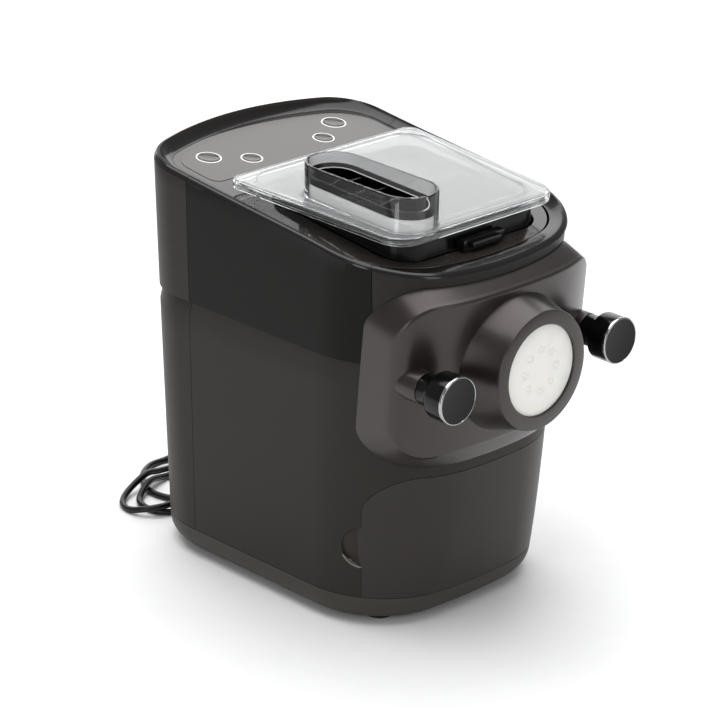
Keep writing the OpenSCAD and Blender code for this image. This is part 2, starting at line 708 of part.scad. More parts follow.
// Frame: a bulkhead behind the chamber, feet on the base tray and a shelf over the drawer
frame_half_w = 88;
shelf_front_y = -64;
shelf_t = 3;
column_r = 4.5;
shelf_z = tray_z + tray_h + 4;
frame_z = tray_floor_z + 16;
frame_top_z = deck_z(bulkhead_y) - deck_t - 4;
shelf_corners = box_corners(-frame_half_w, frame_half_w, shelf_front_y, bulkhead_y + 1, 6);
module inner_frame() {
    color("#6f7478") difference() {
        union() {
            translate([-frame_half_w, bulkhead_y, frame_z])
                cube([2 * frame_half_w, bulkhead_t, frame_top_z - frame_z]);
            translate([0, 0, shelf_z]) linear_extrude(shelf_t) polygon(rounded(shelf_corners, 0, 4));
            on_both_sides() for (p = tray_screws) translate([p.x, p.y, tray_floor_z + eps]) {
                cylinder(r = column_r, h = p.y > 0 ? 30 : shelf_z - tray_floor_z);
            }
            on_both_sides() translate([tray_screws[1].x - 5, bulkhead_y, tray_floor_z + 0.1])
                cube([10, 12, 30]);
        }
        bar(0, axis_z, bearing_r, bulkhead_y - 1, bulkhead_y + bulkhead_t + 1);
        bar(0, lay_z, lay_shaft_d, bulkhead_y + 1, bulkhead_y + bulkhead_t + 1);
        on_both_sides() bar(knob_x, axis_z, rod_r - 1, bulkhead_y - 1, bulkhead_y + bulkhead_t + 1);
        on_both_sides() for (p = tray_screws) translate([p.x, p.y, 0]) cylinder(r = 2, h = 20);
        // Opening for the wires to the load cells
        translate([-30, bulkhead_y - 1, 30]) cube([60, bulkhead_t + 2, 28]);
    }
}

// Mixing chamber: a rounded mouth over a half-round bowl on the screw axis
function bowl_ring(grow, z, slope) =
    [for (p = rounded(tub_corners, -grow, 8)) [p.x, p.y, z + slope * p.y]];
function lower_corners(half) = box_corners(-half, half, tub_front_y, tub_rear, 6);
function lower_ring(half, grow, z) = [for (p = rounded(lower_corners(half), -grow, 8)) [p.x, p.y, z]];
tub_top_lift = -lid_wall - 0.3;
module tub_solid(grow, top_lift) {
    skin([lower_ring(bowl_r + tub_wall, grow, bowl_top_z - 8),
        lower_ring(bowl_r + tub_wall, grow, bowl_top_z),
        bowl_ring(grow, deck_z(0) - 8, deck_slope),
        bowl_ring(grow - tub_draft, lid_z(0) + top_lift, lid_slope)]);
    intersection() {
        bar(0, axis_z, bowl_r + tub_wall + grow, tub_front_y - grow, tub_rear + grow);
        translate([-100, tub_front_y - grow, axis_z - 100])
            cube([200, tub_rear - tub_front_y + 2 * grow, 100]);
    }
}
module mixing_chamber() {
    color("#161616") difference() {
        tub_solid(0, tub_top_lift);
        tub_solid(-tub_wall, tub_top_lift + 2);
        bar(0, axis_z, tube_r + tube_wall, tub_front_y - 1, tub_front_y + tub_wall + 1);
        bar(0, axis_z, shaft_d / 2 + 3, tub_rear - tub_wall - 1, tub_rear + 1);
    }
}
latch_w = 40;
latch_t = 7;
module chamber_latch() {
    z0 = deck_z(tub_front_y) + 0.5;
    z1 = lid_z(lid_front_y) - skirt_h - 1.5;
    color("#101010") {
        translate([-latch_w / 2, tub_front_y - latch_t, z0]) cube([latch_w, latch_t - 0.1, z1 - z0]);
        translate([-latch_w / 2 + 6, tub_front_y - latch_t - 3, z0 + 2]) cube([latch_w - 12, 4, 4]);
    }
}
module extrusion_tube() {
    flange_y = disc_back_y + 0.2;
    back_y = tube_back_y + 4;
    outer = tube_r + tube_wall;
    color("#8c8f92") turned(0, axis_z, [
        [tube_r, flange_y], [disc_d / 2, flange_y], [disc_d / 2, flange_y + 6], [outer, flange_y + 9],
        [outer, tub_front_y - 5], [outer + 4, tub_front_y - 5], [outer + 4, tub_front_y - 0.1],
        [outer - 0.1, tub_front_y - 0.1], [outer - 0.1, back_y], [tube_r, back_y]]);
}

// Rods that take the press force from the knobs back to the bulkhead
module tie_rods() {
    seat = -front_reach + 40;
    color("#b9bcc0") on_both_sides() turned(knob_x, axis_z, [
        [0, stud_tip_y], [stud_d / 2 - 1, stud_tip_y], [stud_d / 2, stud_tip_y + 1], [stud_d / 2, seat],
        [rod_r, seat], [rod_r, bulkhead_y - 0.05], [rod_r - 1.05, bulkhead_y - 0.05],
        [rod_r - 1.05, bulkhead_y + bulkhead_t], [0, bulkhead_y + bulkhead_t]]);
}

// Drive train
module bearing(z, bore, r, y0, len) {
    turned(0, z, [[bore / 2 + run_gap, y0], [r, y0], [r, y0 + len], [bore / 2 + run_gap, y0 + len]]);
}
module shaft_bearings() {
    rear_y0 = case_rear_y - case_wall;
    color("#c9ccd0") {
        bearing(axis_z, shaft_d, bearing_r - 0.05, bulkhead_y, bearing_w - 4);
        bearing(axis_z, shaft_d, bearing_r - 4, rear_y0, case_wall);
        bearing(lay_z, lay_shaft_d, lay_shaft_d - 0.05, bulkhead_y + 1.05, bulkhead_t - 1.1);
        bearing(lay_z, lay_shaft_d, lay_shaft_d - 0.05, rear_y0, case_wall);
    }
}
module shaft_seal() {
    color("#a03a2c") turned(0, axis_z, [
        [shaft_d / 2 + run_gap, tub_rear - tub_wall - 2], [shaft_d / 2 + 2.9, tub_rear - tub_wall - 2],
        [shaft_d / 2 + 2.9, tub_rear + 0.3], [bearing_r - 2, tub_rear + 0.3],
        [bearing_r - 2, bulkhead_y - 0.3], [shaft_d / 2 + run_gap, bulkhead_y - 0.3]]);
}
module gearbox_case() {
    slow_room = slow_module * (slow_teeth[1] / 2 + 1) + 2;
    fast_room = fast_module * (fast_teeth[1] / 2 + 1) + 2;
    depth = case_rear_y - case_y;
    module profile(grow) {
        hull() {
            translate([0, axis_z]) circle(r = slow_room + grow);
            translate([0, lay_z]) circle(r = fast_room + grow);
            translate([0, motor_z]) circle(r = 16 + grow);
        }
    }
    color("#8b8d88") difference() {
        translate([0, case_rear_y, 0]) rotate([90, 0, 0]) linear_extrude(depth - 0.05) profile(case_wall);
        translate([0, case_rear_y - case_wall, 0]) rotate([90, 0, 0]) linear_extrude(depth) profile(0);
        bar(0, axis_z, bearing_r - 3.95, case_rear_y - case_wall - 1, case_rear_y + 1);
        bar(0, lay_z, lay_shaft_d, case_rear_y - case_wall - 1, case_rear_y + 1);
        bar(0, motor_z, motor_shaft_d / 2 + 1, case_rear_y - case_wall - 1, case_rear_y + 1);
    }
}
module motor_housing() {
    r = motor_d / 2;
    y1 = motor_y + motor_len;
    color("#7d8084") {
        turned(0, motor_z, [
            [motor_shaft_d / 2 + run_gap, motor_y], [r, motor_y], [r, y1], [motor_shaft_d / 2 + run_gap, y1],
            [motor_shaft_d / 2 + run_gap, y1 - 3], [r - 3, y1 - 3], [r - 3, motor_y + 3],
            [motor_shaft_d / 2 + run_gap, motor_y + 3]]);
        difference() {
            translate([-26, motor_y + 4, tray_floor_z + 0.1])
                cube([52, motor_len - 8, motor_z - tray_floor_z]);
            bar(0, motor_z, r - 1, motor_y, y1);
            translate([-20, motor_y, tray_floor_z]) cube([40, motor_len, motor_z - r - tray_floor_z - 4]);
        }
    }
}
// Involute gear outline: teeth n, module mod, one tooth centred at angle phase
pressure_a = 25;
backlash = 0.16;
function involute(r, base) = tan(acos(min(1, base / r))) * 180 / PI - acos(min(1, base / r));
function gear_points(n, mod, phase) =
    let (
        pitch = n * mod / 2,
        base = pitch * cos(pressure_a),
        tip = pitch + 0.9 * mod,
        root = pitch - 1.25 * mod,
        half = 90 / n - backlash * 180 / PI / pitch + involute(pitch, base),
        radii = [max(base, root), lerp(max(base, root), tip, 0.35), lerp(max(base, root), tip, 0.7), tip])
    [for (k = [0:n - 1]) let (a = phase + 360 * k / n) each concat(
        [polar([0, 0], root, a - half)],
        [for (r = radii) polar([0, 0], r, a - half + involute(r, base))],
        [for (j = [3:-1:0]) polar([0, 0], radii[j], a + half - involute(radii[j], base))],
        [polar([0, 0], root, a + half)])];
module gear(z, n, mod, phase, bore, y0) {
    translate([0, y0 + gear_face, z]) rotate([90, 0, 0]) linear_extrude(gear_face) difference() {
        polygon(gear_points(n, mod, phase));
        circle(r = bore);
    }
}
module output_gear() {
    color("#d8d2c2") {
        gear(axis_z, slow_teeth[1], slow_module, 270 + 180 / slow_teeth[1], shaft_d / 2, slow_y);
    }
}
shaft_front_y = tub_front_y + 26;
module drive_shaft() {
    color("#b5b8bb") turned(0, axis_z, [
        [0, shaft_front_y], [shaft_d / 2, shaft_front_y],
        [shaft_d / 2, case_rear_y + 1], [0, case_rear_y + 1]]);
}
module layshaft() {
    color("#d8d2c2") {
        turned(0, lay_z, [[0, bulkhead_y + 1.2], [lay_shaft_d / 2, bulkhead_y + 1.2],
            [lay_shaft_d / 2, case_rear_y - 0.3], [0, case_rear_y - 0.3]]);
        gear(lay_z, slow_teeth[0], slow_module, 90, lay_shaft_d / 2, slow_y);
        gear(lay_z, fast_teeth[1], fast_module, 270 + 180 / fast_teeth[1], lay_shaft_d / 2, fast_y);
        turned(0, lay_z, [[lay_shaft_d / 2, slow_y + gear_face], [lay_shaft_d / 2 + 3, slow_y + gear_face],
            [lay_shaft_d / 2 + 3, fast_y], [lay_shaft_d / 2, fast_y]]);
    }
}
fan_y = motor_y + motor_len + 1.5;
module motor_rotor() {
    y1 = motor_y + motor_len;
    color("#9a7b4f") {
        turned(0, motor_z, [[0, fast_y], [motor_shaft_d / 2, fast_y], [motor_shaft_d / 2, motor_y + 6],
            [motor_d / 2 - 5, motor_y + 6], [motor_d / 2 - 5, y1 - 12], [motor_shaft_d / 2 + 6, y1 - 12],
            [motor_shaft_d / 2 + 6, y1 - 5], [motor_shaft_d / 2, y1 - 5], [motor_shaft_d / 2, fan_y + 6],
            [0, fan_y + 6]]);
        gear(motor_z, fast_teeth[0], fast_module, 90, motor_shaft_d / 2, fast_y);
    }
}
module cooling_fan() {
    r = motor_d / 2 - 6;
    color("#3a3d40") {
        turned(0, motor_z, [[motor_shaft_d / 2, fan_y], [r, fan_y], [r, fan_y + 1.2],
            [8, fan_y + 1.2], [8, fan_y + 6], [motor_shaft_d / 2, fan_y + 6]]);
        for (k = [0:8]) translate([0, fan_y + 1, motor_z]) rotate([0, 40 * k, 0])
            translate([9, 0, -0.6]) cube([r - 11, 5, 1.2]);
    }
}

// Paddle and screw on the drive shaft
paddle_r = bowl_r - 3;
arm_w = 8;
scraper_len = 36;
screw_core_r = 9;
module mixing_paddle() {
    hub_y0 = shaft_front_y + 2;
    hub_y1 = tub_rear - tub_wall - 3;
    color("#d9d9d4") {
        turned(0, axis_z, [[shaft_d / 2, hub_y0], [shaft_d / 2 + 6, hub_y0], [shaft_d / 2 + 8, hub_y1],
            [shaft_d / 2, hub_y1]]);
        // Each arm: place on the hub, angle, and where its scraper bar starts
        for (arm = [[hub_y1 - 8, 30, -34], [lerp(hub_y0, hub_y1, 0.5), 150, -12], [hub_y0 + 6, 270, -6]])
            translate([0, arm[0], axis_z]) rotate([0, arm[1], 0]) {
                translate([shaft_d / 2 + 4, -arm_w / 2, -3.5]) cube([paddle_r - shaft_d / 2 - 8, arm_w, 7]);
                translate([paddle_r - 9, arm[2], -3]) cube([6, scraper_len, 6]);
            }
    }
}
module extrusion_screw() {
    back_y = shaft_front_y - 0.1;
    front_y = disc_back_y + 2;
    length = back_y - front_y;
    flight = concat(
        [for (k = [0:3]) polar([0, 0], screw_d / 2, 8 * k - 12)],
        [for (k = [1:6]) polar([0, 0], screw_core_r, 32 + 42 * k)]);
    turns = length / screw_pitch;
    color("#cfcfca") translate([0, back_y, axis_z]) rotate([90, 0, 0])
        linear_extrude(length, twist = 360 * turns, slices = ceil(18 * turns), segments = len(flight))
            polygon(flight);
}

// Lid switch on the bulkhead, reached by a tab of the lid through the deck
module lid_switch() {
    z1 = deck_z(bulkhead_y) - deck_t - 6;
    color("#202124") translate([66, bulkhead_y - 9.1, z1 - 18]) cube([14, 9, 18]);
}
runner_w = 8;
runner_front_y = -58;
module drawer_runners() {
    x = tray_w / 2 - runner_w - 4;
    color("#9da1a4") on_both_sides() translate([x, runner_front_y, tray_floor_z + 0.1])
        cube([runner_w, tray_rear_y - runner_front_y + 10, tray_z - tray_floor_z - 0.4]);
}
module housing_screws() {
    color("#8f9296") on_both_sides() for (p = tray_screws) translate([p.x, p.y, 0]) {
        translate([0, 0, 0.8]) cylinder(r = 3.5, h = foot_h - 0.8);
        translate([0, 0, foot_h - eps]) cylinder(r = 1.95, h = 17);
    }
}

// Mains cord
module cord_gland() {
    color("#121212") turned(cord_exit_x, cord_exit_z, [
        [cord_d / 2 + 0.05, 146], [9, 146], [9, 151], [6.3, 151], [6.3, gland_y + 1],
        [8, gland_y + 1], [8, gland_y + 3], [6.5, gland_y + 4],
        [cord_d / 2 + 1, gland_y + gland_len], [cord_d / 2 + 0.05, gland_y + gland_len]]);
}
// A smooth curve through the points of a route, with n steps from each point to the next
function curve(p0, p1, p2, p3, t) = 0.5 * (2 * p1 + (p2 - p0) * t
    + (2 * p0 - 5 * p1 + 4 * p2 - p3) * t * t + (3 * p1 - 3 * p2 + p3 - p0) * t * t * t);
function smooth_route(points, n) =
    let (last = len(points) - 1)
    concat([for (i = [0:last - 1], k = [0:n - 1])
        curve(points[max(0, i - 1)], points[i], points[i + 1], points[min(last, i + 2)], k / n)],
        [points[last]]);
function unit(v) = v / norm(v);
cord_sides = 8;
module tube_along(points, r) {
    last = len(points) - 1;
    function tangent(i) = unit(points[min(last, i + 1)] - points[max(0, i - 1)]);
    function side(i) = unit(cross(tangent(i), [0, 0, 1]));
    function ring(i) = let (s = side(i), up = cross(s, tangent(i)))
        [for (k = [0:cord_sides - 1]) let (a = 360 * k / cord_sides)
            points[i] + r * (s * cos(a) + up * sin(a))];
    skin([for (i = [0:last]) ring(i)]);
}
module cord() {
    color("#0d0d0d") tube_along(smooth_route(cord_route, 2), cord_d / 2);
}
module cord_coil() {
    color("#0d0d0d") translate([coil_x, coil_y, 0]) rotate_extrude() polygon(
        rounded(box_corners(2 * coil_r - coil_out, coil_out, 0, coil_rows * cord_d, cord_d / 2), 0, 4));
}
// Flat two-pin plug with its tapered strain relief against the coil
module plug_body() {
    y = coil_y - lead_r;
    relief_r = cord_d / 2 + 0.5;
    relief_x = coil_x + sqrt(pow(coil_out + relief_r + gap, 2) - pow(lead_r, 2));
    body = [[plug_x + plug_len - 4, y + plug_w / 2 - 4, 4], [plug_x + 3, y + 5, 3], [plug_x + 3, y - 5, 3],
        [plug_x + plug_len - 4, y - plug_w / 2 + 4, 4]];
    color("#111111") {
        linear_extrude(2 * plug_z) polygon(rounded(body, 0, 4));
        translate([relief_x, y, plug_z]) rotate([0, 90, 0])
            cylinder(r1 = relief_r, r2 = 6, h = plug_x + 2 - relief_x);
    }
}
module plug_pins() {
    color("#b9bcc0") for (side = [-1, 1])
        translate([plug_x + plug_len, coil_y - lead_r + side * pin_pitch / 2, plug_z]) rotate([0, 90, 0])
            cylinder(r = pin_d / 2, h = pin_len);
}

// Front panel with the ring round the shaping disc and the knob bosses
function panel_face(x, z) = -(front_reach + panel_stand) + panel_lean * (panel_top - crease_drop - z)
    + panel_sag * pow(abs(x) / sag_at, 3)
    + edge_roll * pow(max(0, abs(x) - panel_w / 2 + edge_roll_w) / edge_roll_w, 2);
panel_corners = box_corners(-panel_w / 2, panel_w / 2, panel_z, panel_top, panel_r);
crease_corners = box_corners(-panel_w / 2 + crease_inset, panel_w / 2 - crease_inset,
    panel_z + crease_rise, panel_top - crease_drop, crease_r);
panel_hole_r = 44;
panel_gap = 0.6;
function panel_loop(corners, d) = rounded(corners, d, 6, 9);
function panel_column(k, w) =
    let (
        edge = panel_loop(panel_corners, w)[k],
        crease = function(d) panel_loop(crease_corners, d)[k],
        mid = crease(2.4 + w / 2),
        a = atan2(mid.y - axis_z, mid.x),
        rim = polar([0, axis_z], panel_hole_r, a),
        p = function(q, back) [q.x, panel_face(q.x, q.y) + back, q.y])
    concat(
        [[edge.x, front_surface(edge.x, edge.y, panel_gap), edge.y]],
        [p(crease(w), 2.4 + w / 2), p(crease(0.7 + w), 0.7 + w * 0.8), p(mid, w)],
        [for (s = [1 / 3, 2 / 3, 1]) p(lerp(mid, rim, s), w)]);
boss_back_y = front_surface(knob_x - boss_r, axis_z, 2 * gap);
module front_panel() {
    loop_len = len(panel_loop(panel_corners, 0));
    disc_seat = disc_d / 2 + 0.3;
    color("#5a504d") difference() {
        union() {
            thick_patch([for (k = [0:loop_len - 1]) panel_column(k, 0)],
                [for (k = [0:loop_len - 1]) panel_column(k, panel_wall)], true);
            turned(0, axis_z, [
                [disc_show_d / 2, ring_y], [ring_d / 2 - 0.8, ring_y], [ring_d / 2, ring_y + 0.8],
                [ring_d / 2 + 0.3, ring_y + 15.5], [ring_d / 2 + 1.7, ring_y + 20], [root_r - 1, ring_y + 23.5],
                [root_r, ring_y + 30], [root_r, ring_y + 34], [disc_seat, ring_y + 34],
                [disc_seat, ring_y + ring_lip], [disc_show_d / 2, ring_y + ring_lip]]);
            on_both_sides() bar(knob_x, axis_z, boss_r, boss_front_y, boss_back_y);
        }
        on_both_sides() bar(knob_x, axis_z, stud_d / 2 + stud_gap, boss_front_y - 1, -60);
    }
}
// Shaping disc with a ring of pasta holes
module shaping_disc() {
    y0 = ring_y + ring_lip + 0.1;
    color("#eeece5") difference() {
        bar(0, axis_z, disc_d / 2, y0, y0 + disc_t);
        for (k = [0:11]) rotate_about_axis(30 * k) translate([22, y0 - 1, -3.5]) cube([2.2, disc_t + 2, 7]);
    }
}
module rotate_about_axis(a) {
    translate([0, 0, axis_z]) rotate([0, a, 0]) children();
}

// Knobs: black body with a bright ring at the front edge and a threaded insert
module knob() {
    r = knob_d / 2;
    y0 = knob_face_y;
    neck_y = boss_front_y - 0.3;
    bore = stud_d / 2 + insert_wall;
    turned(0, axis_z, [
        [0, y0 + 0.6], [r - 2.6, y0 + 0.6], [r - 2.6, y0 + 2.6], [r, y0 + 2.6], [r, y0 + 15.5],
        [neck_d / 2, y0 + 22], [neck_d / 2, neck_y], [bore, neck_y], [bore, y0 + 11],
        [stud_d / 2 + stud_gap, y0 + 11], [stud_d / 2 + stud_gap, stud_tip_y - 0.5], [0, stud_tip_y - 0.5]]);
}
module knob_ring() {
    r = knob_d / 2;
    y0 = knob_face_y;
    turned(0, axis_z, [
        [r - 2.55, y0], [r - 0.5, y0], [r + 0.1, y0 + 0.6], [r + 0.1, y0 + 2.55], [r - 2.55, y0 + 2.55]]);
}
module knob_insert() {
    y0 = knob_face_y + 11.1;
    turned(0, axis_z, [[stud_d / 2 + 0.1, y0], [stud_d / 2 + insert_wall - 0.05, y0],
        [stud_d / 2 + insert_wall - 0.05, boss_front_y - 1], [stud_d / 2 + 0.1, boss_front_y - 1]]);
}
module knob_left() { color("#131313") translate([-knob_x, 0, 0]) knob(); }
module knob_right() { color("#131313") translate([knob_x, 0, 0]) knob(); }
module knob_ring_left() { color("#d8d8d8") translate([-knob_x, 0, 0]) knob_ring(); }
module knob_ring_right() { color("#d8d8d8") translate([knob_x, 0, 0]) knob_ring(); }
module knob_insert_left() { color("#c2a24c") translate([-knob_x, 0, 0]) knob_insert(); }
module knob_insert_right() { color("#c2a24c") translate([knob_x, 0, 0]) knob_insert(); }

// Drawer
module drawer_shell() {
    half = [for (k = [0:6]) lerp(3.15, 4, k / 6)];
    left = concat(half, [for (k = [1:4]) 4 + k / 4]);
    us = concat(left, [for (k = [len(left) - 2:-1:0]) 10 - left[k]]);
    zs = [for (k = [0:4]) lerp(base_h + gap, drawer_top + 1, k / 4)];
    thick_patch([for (u = us) [for (z = zs) skin_point(u, z, 0)]],
        [for (u = us) [for (z = zs) skin_point(u, z, wall)]]);
}
module drawer_front() {
    color("#3c3a37") {
        intersection() {
            drawer_shell();
            prism_y(drawer_profile(0), -front_reach - 20, -40);
        }
        on_both_sides() for (z = [46, 92])
            bar(46, z, 5, front_surface(46, z, -wall) - 0.6, tray_front_y);
    }
}
module drawer_tray() {
    corners = [
        [-(tray_w / 2 - 6), tray_rear_y - 6, 6],
        [-(tray_w / 2 - tray_front_r), tray_front_y + tray_front_r, tray_front_r],
        [tray_w / 2 - tray_front_r, tray_front_y + tray_front_r, tray_front_r],
        [tray_w / 2 - 6, tray_rear_y - 6, 6]];
    color("#6b6d6e") difference() {
        translate([0, 0, tray_z]) linear_extrude(tray_h) polygon(rounded(corners));
        translate([0, 0, tray_z + tray_wall]) linear_extrude(tray_h) polygon(rounded(corners, tray_wall));
    }
}

// Lid and the insert in its filling slot
function lid_ring(d, lift) = on_plane(rounded(lid_corners, d, 7), function(y) lid_z(y), lift);
function slot_ring(d, lift) = on_plane(rounded(slot_corners, d, 12), function(y) lid_z(y), lift);
module lid() {
    color("#dfe6e8", 0.45) difference() {
        union() {
            skin([lid_ring(0, -skirt_h), lid_ring(0, -2.4), lid_ring(0.7, -0.7), lid_ring(2.4, 0)]);
            skin([slot_ring(0, -lid_wall / 2), slot_ring(0, slot_h - 1), slot_ring(0.6, slot_h)]);
        }
        skin([lid_ring(lid_wall, -skirt_h - 1), lid_ring(lid_wall, -lid_wall - 0.5),
            lid_ring(lid_wall + 1, -lid_wall)]);
        skin([slot_ring(lid_wall, -lid_wall - 3), slot_ring(lid_wall, slot_h + 1)]);
    }
}
module lid_insert() {
    d = lid_wall + 0.15;
    color("#151515") difference() {
        skin([slot_ring(d, insert_bottom), slot_ring(d, insert_top)]);
        skin([slot_ring(d + 4, insert_bottom - 1), slot_ring(d + 4, insert_edge),
            slot_ring(d + 0.8, insert_top + 0.05)]);
    }
    color("#151515") for (k = [-1:1]) intersection() {
        skin([slot_ring(d + 1, insert_bottom), slot_ring(d + 1, insert_edge - 0.5)]);
        translate([slot_x - 30, slot_y + 24 * k - 2, lid_z(slot_y) - 5]) cube([60, 4, 30]);
    }
}

base_tray();
rubber_feet();
load_cells();
lower_housing();
rear_cover();
upper_cover_left();
upper_cover_right();
front_fascia();
deck();
control_panel();
light_rings();
control_board();
power_board();
inner_frame();
mixing_chamber();
chamber_latch();
extrusion_tube();
tie_rods();
shaft_bearings();
shaft_seal();
gearbox_case();
motor_housing();
lid_switch();
drawer_runners();
housing_screws();
cord_gland();
cord();
cord_coil();
plug_body();
plug_pins();
front_panel();
shaping_disc();
knob_left();
knob_right();
knob_ring_left();
knob_ring_right();
knob_insert_left();
knob_insert_right();
drawer_front();
drawer_tray();
lid();
lid_insert();
mixing_paddle();
extrusion_screw();
drive_shaft();
output_gear();
layshaft();
motor_rotor();
cooling_fan();
button_power();
button_program();
button_weigh();
button_start();
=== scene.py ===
import math

import bmesh
import bpy
from mathutils import Matrix, Vector


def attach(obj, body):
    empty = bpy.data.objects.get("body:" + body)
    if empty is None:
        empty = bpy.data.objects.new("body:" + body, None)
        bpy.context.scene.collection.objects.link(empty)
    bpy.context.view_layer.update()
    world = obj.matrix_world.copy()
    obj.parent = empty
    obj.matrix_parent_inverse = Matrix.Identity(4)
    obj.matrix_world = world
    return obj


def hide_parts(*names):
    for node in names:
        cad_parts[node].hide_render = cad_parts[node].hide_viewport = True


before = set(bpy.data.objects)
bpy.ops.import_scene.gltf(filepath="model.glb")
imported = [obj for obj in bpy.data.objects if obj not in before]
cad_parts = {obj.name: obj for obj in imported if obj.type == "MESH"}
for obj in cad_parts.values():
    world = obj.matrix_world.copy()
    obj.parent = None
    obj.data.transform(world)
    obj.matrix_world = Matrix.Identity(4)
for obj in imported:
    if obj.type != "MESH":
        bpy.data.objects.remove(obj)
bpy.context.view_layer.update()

scene = bpy.context.scene
MM = 0.001


# Studio: a plain pale floor under soft light, and the camera at the front left, a little above the
# rim. A wide overhead panel and a tall panel behind the machine give the deck and lid their sheen.
def linear(code):
    """The linear colour of an sRGB hex code."""
    parts = [int(code[i:i + 2], 16) / 255 for i in (1, 3, 5)]
    return tuple(c / 12.92 if c <= 0.04045 else ((c + 0.055) / 1.055) ** 2.4 for c in parts) + (1.0,)


def add(tree, kind, inputs=None, **settings):
    """Adds a node, sets its properties, and sets or links its inputs."""
    node = tree.nodes.new(kind)
    for key, value in settings.items():
        setattr(node, key, value)
    for key, value in (inputs or {}).items():
        if isinstance(value, bpy.types.NodeSocket):
            tree.links.new(value, node.inputs[key])
        else:
            node.inputs[key].default_value = value
    return node


def new_material(name):
    made = bpy.data.materials.new(name)
    made.use_nodes = True
    made.node_tree.nodes.clear()
    return made, made.node_tree


def clouded(name, scale, detail, dark, light):
    """A new material with a noise in the piece's own space and a colour that drifts with it."""
    made, tree = new_material(name)
    spot = add(tree, "ShaderNodeTexCoord")
    cloud = add(tree, "ShaderNodeTexNoise", {
        "Vector": spot.outputs["Object"], "Scale": scale, "Detail": detail})
    tone = add(tree, "ShaderNodeMix", {
        "Factor": cloud.outputs["Fac"], "A": linear(dark), "B": linear(light)}, data_type="RGBA")
    return made, tree, cloud.outputs["Fac"], tone.outputs["Result"]


def shaded(tree, colour, inputs):
    """Ends a material in one surface of the given colour."""
    shader = add(tree, "ShaderNodeBsdfPrincipled", {"Base Color": colour, **inputs})
    add(tree, "ShaderNodeOutputMaterial", {"Surface": shader.outputs[0]})
    return shader


def place_camera():
    # The camera's axes in the machine's frame: its right, its up and the way it looks
    right = Vector((0.714845, -0.699059, 0.017692))
    up = Vector((0.253524, 0.282662, 0.925110))
    ahead = Vector((0.651707, 0.656825, -0.379288))
    data = bpy.data.cameras.new("studio_camera")
    data.sensor_width = 36.0
    data.lens = 157.996
    data.shift_x, data.shift_y = 0.0158, 0.0193
    data.clip_start, data.clip_end = 0.1, 30.0
    camera = bpy.data.objects.new("studio_camera", data)
    rows = Matrix((right, up, -ahead)).transposed().to_4x4()
    rows.translation = Vector((-1.49846, -1.48049, 1.00963))
    camera.matrix_world = rows
    scene.collection.objects.link(camera)
    scene.camera = camera


place_camera()
scene.view_settings.view_transform = "Standard"
scene.view_settings.look = "None"

world = bpy.data.worlds.new("studio_air")
world.use_nodes = True
world.node_tree.nodes.clear()
air = add(world.node_tree, "ShaderNodeBackground", {"Color": linear("#F2F3F5"), "Strength": 0.4})
add(world.node_tree, "ShaderNodeOutputWorld", {"Surface": air.outputs[0]})
scene.world = world


def softbox(name, place, toward, size, power):
    data = bpy.data.lights.new(name, "AREA")
    data.shape = "RECTANGLE"
    data.size, data.size_y = size
    data.energy = power
    lamp = bpy.data.objects.new(name, data)
    lamp.location = place
    lamp.rotation_euler = (Vector(toward) - Vector(place)).to_track_quat("-Z", "Y").to_euler()
    scene.collection.objects.link(lamp)


softbox("overhead_panel", (0.1, 0.3, 2.6), (0, 0, 0), (3.0, 3.0), 80)
softbox("rear_panel", (1.7, 2.3, 1.25), (0, 0, 0.25), (3.2, 1.9), 31)
softbox("left_strip", (-2.6, -0.6, 0.9), (0, 0, 0.2), (0.7, 1.6), 12)
softbox("front_strip", (0.3, -2.7, 1.2), (0, 0, 0.2), (0.8, 1.6), 8)

# Seamless studio paper: matte, almost white, with a trace of fibre
floor_material, tree, _, tone = clouded("paper_backdrop_matte", 60.0, 3.0, "#F9F9F9", "#FDFDFD")
shaded(tree, tone, {"Roughness": 0.95, "Specular IOR Level": 0.1})
bm = bmesh.new()
bmesh.ops.create_grid(bm, x_segments=2, y_segments=2, size=6.0)
floor_mesh = bpy.data.meshes.new("studio_floor")
bm.to_mesh(floor_mesh)
bm.free()
floor_mesh.materials.append(floor_material)
floor = bpy.data.objects.new("studio_floor", floor_mesh)
scene.collection.objects.link(floor)


# Mains cord: a round black PVC lead of 5 mm that leaves the rear cover low down, lies in loose loops
# behind the machine, and ends in a neat wound coil with its moulded two-pin plug beside it.
CORD_D = 5.0
COIL = (72.0, 205.0)
COIL_OUTER, COIL_INNER = 30.5, 25.5
EXIT_X, EXIT_Z = 20.0, 35.0
